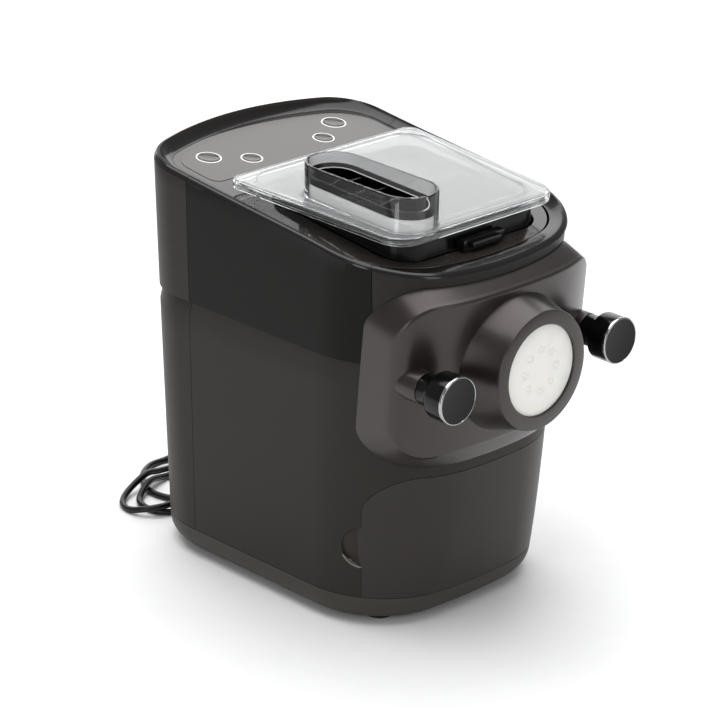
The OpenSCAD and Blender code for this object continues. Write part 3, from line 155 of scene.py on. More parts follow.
# Its route past the rear cover, in metres, from the bore to the coil
CORD_ROUTE = [
    (0.02, 0.1865, 0.035), (0.02, 0.2, 0.033), (0.0185, 0.2145, 0.023), (0.0125, 0.2265, 0.008),
    (0.0005, 0.233, 0.0025), (-0.0155, 0.2325, 0.0025), (-0.033, 0.2215, 0.0025), (-0.0455, 0.203, 0.0025),
    (-0.0475, 0.185, 0.0025), (-0.039, 0.168, 0.0025), (-0.021, 0.1595, 0.0025), (0.001, 0.1605, 0.0025),
    (0.0155, 0.1735, 0.0025), (0.0155, 0.1925, 0.0025), (0.001, 0.206, 0.0025), (-0.0205, 0.208, 0.003),
    (-0.0435, 0.201, 0.008), (-0.0625, 0.191, 0.003), (-0.0695, 0.177, 0.0025), (-0.0665, 0.1625, 0.0025),
    (-0.0545, 0.1535, 0.0025), (-0.033, 0.1505, 0.0025), (-0.011, 0.152, 0.0025), (0.013, 0.1545, 0.0025),
    (0.03, 0.164, 0.0025), (0.038, 0.1805, 0.0025), (0.034, 0.1985, 0.0025), (0.019, 0.211, 0.0025),
    (-0.002, 0.2145, 0.004), (-0.025, 0.211, 0.008), (-0.0425, 0.207, 0.0115), (-0.063, 0.2035, 0.005),
    (-0.0765, 0.1945, 0.0025), (-0.0815, 0.1815, 0.0025), (-0.077, 0.1675, 0.006), (-0.064, 0.159, 0.008),
    (-0.0415, 0.1595, 0.008), (-0.012, 0.166, 0.0075), (0.017, 0.1715, 0.008), (0.0532, 0.1745, 0.0075)]


def smooth_route(points, steps):
    """Points on the smooth curve that runs through a route's points."""
    route = [Vector(p) for p in points]
    last = len(route) - 1
    found = []
    for i in range(last):
        a, b, c, d = route[max(0, i - 1)], route[i], route[i + 1], route[min(last, i + 2)]
        for k in range(steps):
            t = k / steps
            found.append(0.5 * (2 * b + (c - a) * t + (2 * a - 5 * b + 4 * c - d) * t * t
                                + (3 * b - 3 * c + d - a) * t ** 3))
    return found + [route[-1]]


def coil_points(per_turn=36):
    """Four turns, two side by side in each of two layers, wound from the top layer down."""
    turns = [(COIL_OUTER, 7.5), (COIL_INNER, 7.5), (COIL_INNER, 2.5), (COIL_OUTER, 2.5)]
    found = []
    for n, (radius, height) in enumerate(turns):
        after = turns[min(n + 1, len(turns) - 1)]
        for k in range(per_turn):
            part = k / per_turn
            blend = max(0.0, (part - 0.75) / 0.25)
            blend = blend * blend * (3 - 2 * blend)
            angle = math.radians(360 * part - 90)
            r = radius + (after[0] - radius) * blend
            z = height + (after[1] - height) * blend
            found.append(Vector((COIL[0] + r * math.cos(angle), COIL[1] + r * math.sin(angle), z)))
    return found


PLUG_X, PLUG_Z, PLUG_W, PLUG_LEN = 121.0, 7.5, 35.0, 36.0
PLUG_Y = COIL[1] - COIL_OUTER
plug_lead = smooth_route([(COIL[0], PLUG_Y, 2.5), (82, PLUG_Y, 3.6), (92, PLUG_Y, 6.4), (101, PLUG_Y, 7.5),
                          (PLUG_X + 4, PLUG_Y, PLUG_Z)], 4)
loops = [(EXIT_X, 150, EXIT_Z)] + [[c / MM for c in point] for point in CORD_ROUTE]
cord_line = smooth_route(loops, 5)[2:] + coil_points() + plug_lead
curve = bpy.data.curves.new("cord", "CURVE")
curve.dimensions = "3D"
strand = curve.splines.new("POLY")
strand.points.add(len(cord_line) - 1)
for point, place in zip(strand.points, cord_line):
    point.co = (*(place * MM), 1.0)
curve.bevel_depth = CORD_D / 2 * MM
curve.bevel_resolution = 5
curve.use_fill_caps = True
cord = bpy.data.objects.new("mains_cord", curve)
scene.collection.objects.link(cord)

# Plasticised PVC, extruded: a soft sheen that breaks up along the lead, dust in the dull parts
pvc, tree, cloud, tone = clouded("pvc_cord_extruded", 220.0, 4.0, "#060606", "#110F0E")
dull = add(tree, "ShaderNodeMapRange", {"Value": cloud, "To Min": 0.24, "To Max": 0.4})
grain = add(tree, "ShaderNodeBump", {"Height": cloud, "Strength": 0.12, "Distance": 0.0002})
shaded(tree, tone, {"Roughness": dull.outputs["Result"], "IOR": 1.53, "Specular IOR Level": 0.3,
                    "Normal": grain.outputs["Normal"]})
curve.materials.append(pvc)


def moulded(name, base, roughness, grain_mm, depth_mm, mottle=0.06, rough_spread=0.06, **sockets):
    """A moulded or painted surface: its colour drifts a little, and its grain breaks up the sheen.
    Socket names are given with underscores for spaces."""
    made, tree = new_material(name)
    spot = add(tree, "ShaderNodeTexCoord")
    drift = add(tree, "ShaderNodeTexNoise", {"Vector": spot.outputs["Object"], "Scale": 14.0, "Detail": 2.0})
    grain = add(tree, "ShaderNodeTexNoise", {
        "Vector": spot.outputs["Object"], "Scale": 1 / (grain_mm * MM), "Detail": 2.0, "Roughness": 0.55})
    colour = linear(base)
    shades = [tuple(c * k for c in colour[:3]) + (1.0,) for k in (1 - mottle, 1 + mottle)]
    tone = add(tree, "ShaderNodeMix", {
        "Factor": drift.outputs["Fac"], "A": shades[0], "B": shades[1]}, data_type="RGBA")
    dull = add(tree, "ShaderNodeMapRange", {
        "Value": grain.outputs["Fac"], "To Min": roughness - rough_spread,
        "To Max": roughness + rough_spread})
    relief = add(tree, "ShaderNodeBump", {
        "Height": grain.outputs["Fac"], "Strength": 0.5, "Distance": depth_mm * MM})
    shader = shaded(tree, tone.outputs["Result"], {
        "Roughness": dull.outputs["Result"], "Normal": relief.outputs["Normal"]})
    for key, value in sockets.items():
        shader.inputs[key.replace("_", " ")].default_value = value
    return made


def soften(made, width, angle=40.0):
    """Rounds a piece's edges with a bevel as wide as the real mould's small radius."""
    edge = made.modifiers.new("edges", "BEVEL")
    edge.width = width * MM
    edge.segments = 2
    edge.limit_method = "ANGLE"
    edge.angle_limit = math.radians(angle)
    edge.harden_normals = True


def piece(name, bm, materials, body, nodes=(), wall=0.0, bevel=0.0, angle=35.0):
    """Turns a mesh in millimetres into a piece of the machine, thickened inward by its wall and with
    its edges rounded."""
    bmesh.ops.scale(bm, vec=(MM, MM, MM), verts=bm.verts)
    mesh = bpy.data.meshes.new(name)
    bm.to_mesh(mesh)
    bm.free()
    mesh.shade_smooth()
    mesh.set_sharp_from_angle(angle=math.radians(angle))
    for material in materials:
        mesh.materials.append(material)
    made = bpy.data.objects.new(name, mesh)
    scene.collection.objects.link(made)
    if wall:
        thick = made.modifiers.new("wall", "SOLIDIFY")
        thick.thickness = wall * MM
        thick.offset = -1.0
        thick.use_even_offset = True
    if bevel:
        soften(made, bevel, angle)
    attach(made, body)
    if nodes:
        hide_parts(*nodes)
    return made


def outward(bm):
    bmesh.ops.recalc_face_normals(bm, faces=bm.faces)
    return bm


def turned(x, z, profile, steps=96):
    """Spins a profile of (radius, y) about an axis along Y through (x, z)."""
    bm = bmesh.new()
    verts = [bm.verts.new((x + r, y, z)) for r, y in profile]
    edges = [bm.edges.new(pair) for pair in zip(verts, verts[1:])]
    bmesh.ops.spin(bm, geom=verts + edges, cent=(x, 0, z), axis=(0, 1, 0), angle=math.tau, steps=steps,
                   use_merge=True)
    bmesh.ops.remove_doubles(bm, verts=bm.verts, dist=0.001)
    return outward(bm)


def drawn_out(bm, vec):
    """Draws a flat sheet out into a closed prism."""
    grown = bmesh.ops.extrude_face_region(bm, geom=bm.faces[:])
    moved = [v for v in grown["geom"] if isinstance(v, bmesh.types.BMVert)]
    bmesh.ops.translate(bm, vec=vec, verts=moved)
    return outward(bm)


def round_edges(bm, edges, radius, segments):
    bmesh.ops.bevel(bm, geom=edges, offset=radius, segments=segments, profile=0.5, affect="EDGES",
                    material=-1)


def joined(parts):
    """Puts several meshes into one."""
    whole = bmesh.new()
    for part in parts:
        mesh = bpy.data.meshes.new("part")
        part.to_mesh(mesh)
        part.free()
        whole.from_mesh(mesh)
        bpy.data.meshes.remove(mesh)
    return whole


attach(cord, "machine")
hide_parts("cord", "cord_coil")

# The strain relief where the cord leaves the rear cover: moulded soft PVC, tapered, with rings that
# let it bend. A flange inside the cover and a collar outside hold it in its bore.
relief = [(2.55, 146.2), (8.8, 146.2), (8.8, 150.8), (6.2, 150.8), (6.2, 157.6), (7.8, 157.6), (7.8, 159.2),
          (6.6, 160.4)]
for k in range(6):
    y = 161.5 + 4 * k
    r = 6.4 - 0.5 * k
    relief += [(r, y), (r, y + 1.8), (r - 0.9, y + 2.4), (r - 0.9, y + 3.4)]
relief += [(3.4, 186.4), (2.55, 186.4)]
bm = turned(EXIT_X, EXIT_Z, relief + [relief[0]], 32)
# Soft PVC, injection moulded: almost black, half dull, with a fine grain
soft_pvc = moulded("soft_pvc_moulded", "#121212", 0.42, 1.2, 0.05, IOR=1.53)
gland = piece("strain_relief", bm, [soft_pvc], "machine", ["cord_gland"], bevel=0.25)

# The plug: a flat two-pin body of soft PVC moulded round the lead and the pins, with a waist for the
# fingers and a ribbed neck that bends with the lead.
bm = bmesh.new()
half = [(PLUG_X + PLUG_LEN, PLUG_W / 2), (PLUG_X + 22, PLUG_W / 2 - 0.4), (PLUG_X + 9, 9.5), (PLUG_X, 6.5)]
bm.faces.new([bm.verts.new((x, PLUG_Y + y, 0.4)) for x, y in half + [(x, -y) for x, y in reversed(half)]])
drawn_out(bm, (0, 0, 14.2))
round_edges(bm, [e for e in bm.edges if abs(e.verts[0].co.z - e.verts[1].co.z) > 5], 4, 5)
level = [e for e in bm.edges if abs(e.verts[0].co.z - e.verts[1].co.z) < 0.1]
round_edges(bm, [e for e in level if e.calc_face_angle(0) > 1], 2.6, 4)
ribs = [(2.55, 97.5), (3.1, 97.5)]
for k in range(5):
    x = 99 + 4.4 * k
    r = 3.5 + 0.55 * k
    ribs += [(r, x), (r, x + 2.2), (r - 0.7, x + 2.8), (r - 0.7, x + 4.0)]
ribs += [(6.0, 121.5), (6.0, 124), (2.55, 124)]
neck = turned(0, 0, ribs + [ribs[0]], 32)
bmesh.ops.rotate(neck, cent=(0, 0, 0), matrix=Matrix.Rotation(math.radians(-90), 3, "Z"), verts=neck.verts)
bmesh.ops.translate(neck, vec=(0, PLUG_Y, PLUG_Z), verts=neck.verts)
plug = piece("plug_moulded", joined([bm, neck]), [soft_pvc], "machine", ["plug_body"])

# Plug pins: turned brass rods with rounded ends, nickel plated and moulded into the plug's body. The
# CAD's own shape is shown.
# Nickel plating on brass: a warm bright mirror with faint turning marks
nickel = moulded("nickel_plated_brass", "#C9C7C0", 0.18, 0.9, 0.01, rough_spread=0.05, Metallic=1.0)


def finish_node(name, material):
    """Gives a CAD node its material."""
    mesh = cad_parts[name].data
    mesh.materials.clear()
    mesh.materials.append(material)


finish_node("plug_pins", nickel)

# The coil's tie: a short black strip of soft PVC that is bent flat round the wound turns and keeps
# them together.
bm = bmesh.new()
section = [(COIL_INNER - 3.0, 0.1), (COIL_OUTER + 2.9, 0.1), (COIL_OUTER + 3.0, 9.8),
           (COIL_INNER - 2.9, 10.3)]
loops = []
for side in (-3.0, 3.0):
    turn = math.radians(28) + side / 28.0
    loops.append([bm.verts.new((COIL[0] + r * math.cos(turn), COIL[1] + r * math.sin(turn), z))
                  for r, z in section])
for a in range(4):
    b = (a + 1) % 4
    bm.faces.new((loops[0][a], loops[0][b], loops[1][b], loops[1][a]))
outward(bm)
bmesh.ops.solidify(bm, geom=bm.faces[:], thickness=0.5)
piece("cord_tie", bm, [soft_pvc], "machine", bevel=0.15)


# Base tray: one deep injection moulding of grey ABS with a rounded lower edge. It carries the feet
# and closes the housing from below, held by four screws.
BASE_W, TOP_W, FRONT_REACH, REAR_REACH = 195.0, 212.0, 122.0, 157.5
BASE_H, SPLIT_Z, RIM_Z = 23.0, 203.5, 288.5
WALL, GAP = 2.4, 0.4
FOOT_H, BASE_R = 2.5, 16.0


def lerp(a, b, t):
    return a + (b - a) * t


def housing_circles(z):
    """The four circles of the housing's outline at a height: centre and radius, rear then front."""
    up = (z - BASE_H) / (RIM_Z - BASE_H)
    chin = (max(0.0, RIM_Z - 28.5 - z) / (RIM_Z - 28.5)) ** 3
    half = lerp(BASE_W, TOP_W, up) / 2
    front_r = 66 + 14 * (1 - ((z - 150) / 140) ** 2)
    crown = 270 + 198 * chin
    front_y = 21.2 * chin - FRONT_REACH
    rear_y = REAR_REACH - (1 - up)
    rear_r = lerp(60, 41, up)

    def depth(big, small):
        return math.sqrt((big - small) ** 2 - (half - small) ** 2)
    return (half, (0, rear_y - 250), 250, (rear_r - half, rear_y - 250 + depth(250, rear_r)), rear_r,
            (front_r - half, front_y + crown - depth(crown, front_r)), front_r, (0, front_y + crown), crown)


def outline(u, z, inset=0.0):
    """The housing's outline: u runs from the rear (0) over the left side to the front (5) and on."""
    if u < 0 or u > 5:
        x, y = outline(-u if u < 0 else 10 - u, z, inset)
        return -x, y
    half, rc, rr, sc, sr, fc, fr, cc, cr = housing_circles(z)
    rear_a = math.degrees(math.atan2(sc[1] - rc[1], sc[0] - rc[0]))
    front_a = 360 + math.degrees(math.atan2(fc[1] - cc[1], fc[0] - cc[0]))

    def on(c, r, a):
        return c[0] + (r - inset) * math.cos(math.radians(a)), c[1] + (r - inset) * math.sin(math.radians(a))
    if u < 1:
        return on(rc, rr, lerp(90, rear_a, u))
    if u < 2:
        return on(sc, sr, lerp(rear_a, 180, u - 1))
    if u < 3:
        return inset - half, lerp(sc[1], fc[1], u - 2)
    if u < 4:
        return on(fc, fr, lerp(180, front_a, u - 3))
    return on(cc, cr, lerp(front_a, 270, u - 4))


def side_u(y, z):
    _, _, _, sc, _, fc, _, _, _ = housing_circles(z)
    return 2 + (sc[1] - y) / (sc[1] - fc[1])


def lofted(columns, closed=False):
    """A grid bent through columns of points, joined into a tube if closed."""
    if closed:
        columns = columns + [columns[0]]
    across, along = len(columns) - 1, len(columns[0]) - 1
    bm = bmesh.new()
    bmesh.ops.create_grid(bm, x_segments=across, y_segments=along, size=0.5)
    for v in bm.verts:
        v.co = Vector(columns[round((v.co.x + 0.5) * across)][round((v.co.y + 0.5) * along)])
    bmesh.ops.remove_doubles(bm, verts=bm.verts, dist=0.0005)
    return bm


def face_away(bm, centre):
    """Turns an open sheet's faces away from a point."""
    outward(bm)
    lean = sum((f.calc_center_median() - Vector(centre)).dot(f.normal) * f.calc_area() for f in bm.faces)
    if lean < 0:
        bmesh.ops.reverse_faces(bm, faces=bm.faces)


ROUND_US = ([k / 12 for k in range(12)] + [1 + k / 24 for k in range(24)] + [2 + k / 6 for k in range(6)]
            + [3 + k / 28 for k in range(28)] + [4 + k / 16 for k in range(17)])
FULL_US = ROUND_US + [10 - u for u in reversed(ROUND_US[1:-1])]
columns = []
for u in FULL_US:
    column = []
    for k in range(13):
        a = math.radians(90 * k / 12)
        z, inset = FOOT_H + BASE_R * (1 - math.cos(a)), BASE_R * (1 - math.sin(a))
        column.append((*outline(u, z, inset), z))
    column.append((*outline(u, BASE_H), BASE_H))
    columns.append(column)
bm = lofted(columns, closed=True)
rim = [e for e in bm.edges if e.is_boundary and e.verts[0].co.z < FOOT_H + 0.1]
bmesh.ops.contextual_create(bm, geom=rim)
face_away(bm, (0, 0, 20))
# Grey ABS, injection moulded in a spark-eroded mould: dull, with a fine even grain
grey_abs = moulded("grey_abs_moulded", "#3D3A35", 0.5, 1.1, 0.06, IOR=1.53, Specular_IOR_Level=0.2)
piece("base_tray_shell", bm, [grey_abs], "machine", ["base_tray"], wall=WALL, bevel=0.3)

# Feet, load cells and screws, under the base tray: rubber pads that grip the worktop, the aluminium
# beams that weigh the flour and carry them, and the four screws that close the housing.
# Nitrile rubber is dull black, milled aluminium softly bright, and zinc-plated steel a colder grey
foot_rubber = moulded("nitrile_rubber_moulded", "#1A1A1A", 0.75, 0.9, 0.08, IOR=1.52)
aluminium = moulded("aluminium_milled", "#B4B7BA", 0.34, 0.7, 0.02, rough_spread=0.08, Metallic=1.0)
zinc = moulded("zinc_plated_steel", "#9EA0A2", 0.3, 1.0, 0.02, Metallic=1.0)
finish_node("rubber_feet", foot_rubber)
finish_node("load_cells", aluminium)
finish_node("housing_screws", zinc)


# Lower housing: one dark brown ABS moulding that wraps both sides and the front over the drawer,
# with a fine spark-eroded grain, a groove along its top edge and a finger scoop at the drawer.
DRAWER_LOW, DRAWER_HIGH, DRAWER_TOP, DRAWER_R = 84.8, 90.9, 118.2, 29.0
GROOVE_H, GROOVE_D = 12.5, 3.0
SCOOP_R, SCOOP_Z, SCOOP_DEPTH = 15.5, 63.0, 9.5
REAR_SEAM_Y = 88.0
AXIS_Z, KNOB_X = 197.0, 81.6
RING_BORE_R, STUD_BORE_R = 52.0, 6.4
FLOOR_DEPTH = 5.2


def front_u(s, z):
    """Stations between the rear seam (0) and the start of the front corner (1)."""
    return lerp(side_u(REAR_SEAM_Y - GAP / 2, z), 3, s)


def drawer_half(z):
    """Half of the drawer front's width: its sides lean a little outward."""
    return lerp(DRAWER_LOW, DRAWER_HIGH, z / DRAWER_TOP)


def drawer_prism(grow):
    """A prism through the drawer's opening, in front of the machine."""
    bm = bmesh.new()
    low, high, top = DRAWER_LOW + grow, DRAWER_HIGH + grow, DRAWER_TOP + grow
    verts = [bm.verts.new((x, -170, z)) for x, z in ((-low, 0), (low, 0), (high, top), (-high, top))]
    bm.faces.new(verts)
    bmesh.ops.bevel(bm, geom=verts[2:], offset=(DRAWER_R + grow) * 0.999, segments=14, profile=0.5,
                    affect="VERTICES", material=-1)
    return drawn_out(bm, (0, 130, 0))


def rod(x, z, radius, y0=-150, y1=-60, steps=64):
    """A round rod along Y, to cut a bore or to stand as a piece."""
    return turned(x, z, [(0, y0), (radius, y0), (radius, y1), (0, y1)], steps)


def cut(made, cutters, operation="DIFFERENCE"):
    """Cuts a piece with closed meshes in millimetres and keeps the result as its mesh."""
    spent = []
    for bm in cutters:
        bmesh.ops.scale(bm, vec=(MM, MM, MM), verts=bm.verts)
        mesh = bpy.data.meshes.new("cutter")
        bm.to_mesh(mesh)
        bm.free()
        tool = bpy.data.objects.new("cutter", mesh)
        scene.collection.objects.link(tool)
        step = made.modifiers.new("cut", "BOOLEAN")
        step.object = tool
        step.operation = operation
        step.solver = "EXACT"
        spent.append((tool, mesh))
    bpy.context.view_layer.update()
    solid = bpy.data.meshes.new_from_object(made.evaluated_get(bpy.context.evaluated_depsgraph_get()))
    made.modifiers.clear()
    made.data = solid
    for tool, mesh in spent:
        bpy.data.objects.remove(tool)
        bpy.data.meshes.remove(mesh)
    solid.shade_smooth()
    solid.set_sharp_from_angle(angle=math.radians(35))


def front_surface(x, z):
    """How far forward the housing's front lies at a point, as y."""
    _, _, _, _, _, fc, fr, cc, cr = housing_circles(z)
    tangent_x = -fc[0] * cr / (cr - fr)
    if abs(x) < tangent_x:
        return cc[1] - math.sqrt(cr ** 2 - x * x)
    return fc[1] - math.sqrt(fr ** 2 - (abs(x) + fc[0]) ** 2)


def scoop_angle(z):
    """Direction from the corner's centre to the drawer's edge."""
    fc = housing_circles(z)[5]
    return math.atan2(front_surface(drawer_half(z), z) - fc[1], -drawer_half(z) - fc[0])


def stacked(loops):
    """A closed sheet through outlines of equally many points."""
    return lofted([[loop[k] for loop in loops] for k in range(len(loops[0]))], closed=True)


def scoop_point(along, z, depth):
    """A point of the left front corner: its way past the drawer's edge, its height and its depth."""
    _, _, _, _, _, fc, fr, _, _ = housing_circles(z)
    angle = scoop_angle(z) + along / fr
    return Vector((fc[0] + fr * math.cos(angle), fc[1] + fr * math.sin(angle) + depth, z))


def scoop_depth(along, z):
    """Depth of the finger scoop: most at the drawer's edge, soft at its side and top, steep at its foot."""
    along = min(along, 0)
    far = math.hypot(along, z - SCOOP_Z) / SCOOP_R
    if far >= 1:
        return 0.0
    foot = max(0.0, SCOOP_Z - z) / max(SCOOP_R * far, 0.01)
    return SCOOP_DEPTH * (1 + 0.45 * along / SCOOP_R) * (1 - far ** lerp(3.0, 16.0, foot))


def scoop_cutter(side):
    """A closed plug that cuts the scoop's round hole through the skin."""
    turn = [math.tau * k / 72 for k in range(72)]
    reach = SCOOP_R + 0.3
    bm = stacked([[scoop_point(reach * math.cos(t), SCOOP_Z + reach * math.sin(t), depth) for t in turn]
                  for depth in (-14, 14)])
    bmesh.ops.holes_fill(bm, edges=bm.edges[:], sides=0)
    bmesh.ops.scale(bm, vec=(-side, 1, 1), verts=bm.verts)
    return outward(bm)


def fixed(u):
    return lambda z: u


# Levels of the skin with their inset, close together beside the scoop, and with the groove on top
LOWER_LEVELS = ([(lerp(BASE_H + GAP, 44, k / 3), 0) for k in range(3)]
                + [(44 + 1.2 * k, 0) for k in range(31)]
                + [(lerp(81.2, SPLIT_Z - GROOVE_H, k / 9), 0) for k in range(1, 10)]
                + [(SPLIT_Z - GAP, GROOVE_D), (SPLIT_Z + 5.5, GROOVE_D)])
SIDE_US = [lambda z, s=k / 8: front_u(s, z) for k in range(8)]
lower_us = (SIDE_US + [fixed(3 + k / 60) for k in range(45)] + [fixed(3.75 + k / 24) for k in range(6)]
            + [fixed(4 + k / 20) for k in range(21)])


def mirrored(columns):
    """The same columns on the other side, in reverse order."""
    return [[(-x, y, z) for x, y, z in column] for column in reversed(columns)]


left = [[(*outline(u(z), z, inset), z) for z, inset in LOWER_LEVELS] for u in lower_us]
bm = lofted(left + mirrored(left[:-1]))
face_away(bm, (0, 0, 110))
# Brown ABS, injection moulded in a spark-eroded mould: near black, with a fine matte grain
brown_abs = moulded("brown_abs_spark_grained", "#27231F", 0.47, 1.0, 0.05, IOR=1.53, Specular_IOR_Level=0.18)
lower = piece("lower_housing_shell", bm, [brown_abs], "machine", ["lower_housing"], wall=WALL)
cut(lower, [drawer_prism(GAP), scoop_cutter(-1), scoop_cutter(1), rod(0, AXIS_Z, RING_BORE_R),
            rod(-KNOB_X, AXIS_Z, STUD_BORE_R), rod(KNOB_X, AXIS_Z, STUD_BORE_R)])
soften(lower, 0.35)
# The scoops' cups are the same ABS, painted a shade lighter as painted light; the ledge at their foot is
# painted lighter still and smoother, as a painted highlight
scoop_abs_painted_lighter = moulded("brown_abs_scoop_painted_lighter", "#332E2A", 0.45, 1.0, 0.05, IOR=1.53, Specular_IOR_Level=0.18)
ledge_painted_highlight = moulded("brown_abs_ledge_painted_highlight", "#7A726B", 0.22, 1.0, 0.005, IOR=1.53)
for side, name in ((-1, "left"), (1, "right")):
    # The cup, up to the drawer's edge
    columns = []
    for k in range(25):
        along = -SCOOP_R * math.cos(math.radians(lerp(3, 90, k / 24)))
        reach = math.sqrt(SCOOP_R ** 2 - along ** 2)
        column = []
        for j in range(41):
            z = SCOOP_Z - reach * math.cos(math.pi * j / 40)
            column.append(scoop_point(min(along, -0.5), z, scoop_depth(along, z)))
        columns.append(column)
    sheets = [lofted(columns)]
    # Its floor runs on behind the drawer's edge
    columns = []
    heights = [SCOOP_Z + 0.97 * SCOOP_R * (j / 16 - 1) for j in range(33)]
    for along in range(-2, 7):
        depths = [max(scoop_depth(along, z), FLOOR_DEPTH) + 0.05 for z in heights]
        columns.append([scoop_point(along, z, depth) for z, depth in zip(heights, depths)])
    sheets.append(lofted(columns))
    for bm in sheets:
        bmesh.ops.scale(bm, vec=(-side, 1, 1), verts=bm.verts)
        face_away(bm, (0, 0, SCOOP_Z))
    # Upward faces in the cup's lower half take the painted highlight
    for f in sheets[0].faces:
        if f.normal.z > 0.3 and f.calc_center_median().z < SCOOP_Z:
            f.material_index = 1
    piece(f"finger_scoop_{name}", joined(sheets), [scoop_abs_painted_lighter, ledge_painted_highlight], "machine", wall=1.0)


# Rear cover: the same brown ABS over the full height, with seven rows of vent slots for the motor and
# the bore of the cord. The groove and the rolled rim run on from the neighbouring shells.
RIM_W, RIM_R = 13.0, 4.0
VENT_W, VENT_H, VENT_X, VENT_Z, VENT_STEP = 46, 3, 35, 85.5, 8
CORD_BORE_R = 6.5
DECK_TILT = math.radians(6.7)
DECK_SLOPE = math.tan(DECK_TILT)
LID_SLOPE = 0.049


def crest_z(y):
    return RIM_Z + 0.1 * y - 8.2 * (max(0, -y) / FRONT_REACH) ** 3 + 3.4 * (max(0, y) / REAR_REACH) ** 3


def deck_z(y):
    return RIM_Z - 6.2 + DECK_SLOPE * y


def lid_z(y):
    return RIM_Z + 9.1 + LID_SLOPE * y


def rim_points(u_at, steps=8):
    """Upright profile of an upper shell, from the groove over the rolled rim and down to the deck."""
    u = u_at(RIM_Z)
    top = crest_z(outline(u, RIM_Z)[1])
    deck = deck_z(outline(u, RIM_Z, RIM_W)[1])
    points = []
    for k in range(steps + 1):
        z = lerp(SPLIT_Z, top - RIM_R, k / steps)
        points.append((*outline(u_at(z), z), z))
    for k in range(1, steps + 1):
        a = math.radians(90 * k / steps)
        points.append((*outline(u, RIM_Z, RIM_R * (1 - math.cos(a))), top - RIM_R + RIM_R * math.sin(a)))
    for k in range(1, steps + 1):
        s = k / steps
        points.append((*outline(u, RIM_Z, lerp(RIM_R, RIM_W, s)), lerp(top, deck, 1 - (1 - s) ** 2)))
    return points


# Dark gloss inside the rim: a near mirror with a trace of ripple. Its dark colour is partly the inner wall's
# real black gloss and partly a painted dark reflection
rim_gloss_and_painted_reflection = moulded("black_bronze_gloss_and_painted_reflection", "#171413", 0.14, 1.6, 0.003, rough_spread=0.03, IOR=1.5,
                    Specular_IOR_Level=0.42)


def finish_rim(bm):
    """The inside of the rim, from the crest down to the deck, gets the dark gloss, which is partly a painted
    dark reflection.
    """
    for f in bm.faces:
        c = f.calc_center_median()
        if f.normal.z > 0.25 and c.z < crest_z(c.y) - 0.35:
            f.material_index = 1


def rear_column(u_at):
    points = []
    for k in range(11):
        z = lerp(BASE_H + GAP, SPLIT_Z - GROOVE_H, k / 10)
        points.append((*outline(u_at(z), z), z))
    z = SPLIT_Z - GAP
    points.append((*outline(u_at(z), z, GROOVE_D), z))
    return points + rim_points(u_at)


def rear_seam(z):
    return side_u(REAR_SEAM_Y + GAP / 2, z)


rear_us = ([fixed(k / 10) for k in range(10)] + [fixed(1 + k / 20) for k in range(20)]
           + [lambda z, s=k / 3: lerp(2, rear_seam(z), s) for k in range(4)])
left = [rear_column(u) for u in rear_us]
bm = lofted(mirrored(left[1:]) + left)
face_away(bm, (0, 60, 150))
finish_rim(bm)
rear = piece("rear_cover_shell", bm, [brown_abs, rim_gloss_and_painted_reflection], "machine", ["rear_cover"],
             wall=WALL)
slots = []
for side in (-1, 1):
    for k in range(7):
        bm = bmesh.new()
        bmesh.ops.create_cube(bm, size=1)
        bmesh.ops.scale(bm, vec=(VENT_W, 40, VENT_H), verts=bm.verts)
        bmesh.ops.translate(bm, vec=(side * VENT_X, 150, VENT_Z + VENT_STEP * k), verts=bm.verts)
        ends = [e for e in bm.edges if abs(e.verts[0].co.y - e.verts[1].co.y) > 30]
        round_edges(bm, ends, 1.49, 5)
        slots.append(outward(bm))
cut(rear, slots + [rod(EXIT_X, EXIT_Z, CORD_BORE_R, 140, 170, 48)])
soften(rear, 0.3)


# Upper covers and front fascia: black-brown ABS with a satin face, three shells that meet in fine
# seams at the front corners. Their top edge rolls over and runs down to the deck in dark gloss, partly a
# painted dark reflection.
SEAM_U = 3.4
# Black ABS, injection moulded: a satin face with a soft grain
satin_abs = moulded("black_abs_satin", "#11110F", 0.4, 1.4, 0.03, IOR=1.53, Specular_IOR_Level=0.1)
cover_us = SIDE_US + [fixed(lerp(3, SEAM_U - 0.002, k / 16)) for k in range(17)]
for side, name in ((-1, "left"), (1, "right")):
    bm = lofted([[(-side * x, y, z) for x, y, z in rim_points(u)] for u in cover_us])
    face_away(bm, (0, -20, 240))
    finish_rim(bm)
    piece(f"upper_cover_{name}_shell", bm, [satin_abs, rim_gloss_and_painted_reflection], "machine",
          [f"upper_cover_{name}"], wall=WALL, bevel=0.3)
half_us = [lerp(SEAM_U + 0.002, 4, k / 22) for k in range(22)] + [4 + k / 20 for k in range(21)]
fascia_us = half_us + [10 - u for u in reversed(half_us[:-1])]
bm = lofted([rim_points(fixed(u)) for u in fascia_us])
face_away(bm, (0, -40, 240))
finish_rim(bm)
# The fascia is the covers' ABS, painted a trace browner and lighter as painted light, and as satin
fascia_abs_painted_lighter = moulded("black_abs_satin_painted_lighter", "#1E1C1A", 0.4, 1.4, 0.03, IOR=1.53, Specular_IOR_Level=0.2)
fascia = piece("front_fascia_shell", bm, [fascia_abs_painted_lighter, rim_gloss_and_painted_reflection], "machine", ["front_fascia"],
               wall=WALL)
cut(fascia, [rod(0, AXIS_Z, RING_BORE_R)])
soften(fascia, 0.3)


# Deck: a flat bronze-grey panel in high-gloss paint, set inside the rim, with the chamber's mouth and
# the button holes. The control panel lies on its rear half with a fine shadow line round it.
TUB = [(-53, 28, 20), (-48, -68.4, 24), (48, -68.4, 24), (53, 28, 20)]


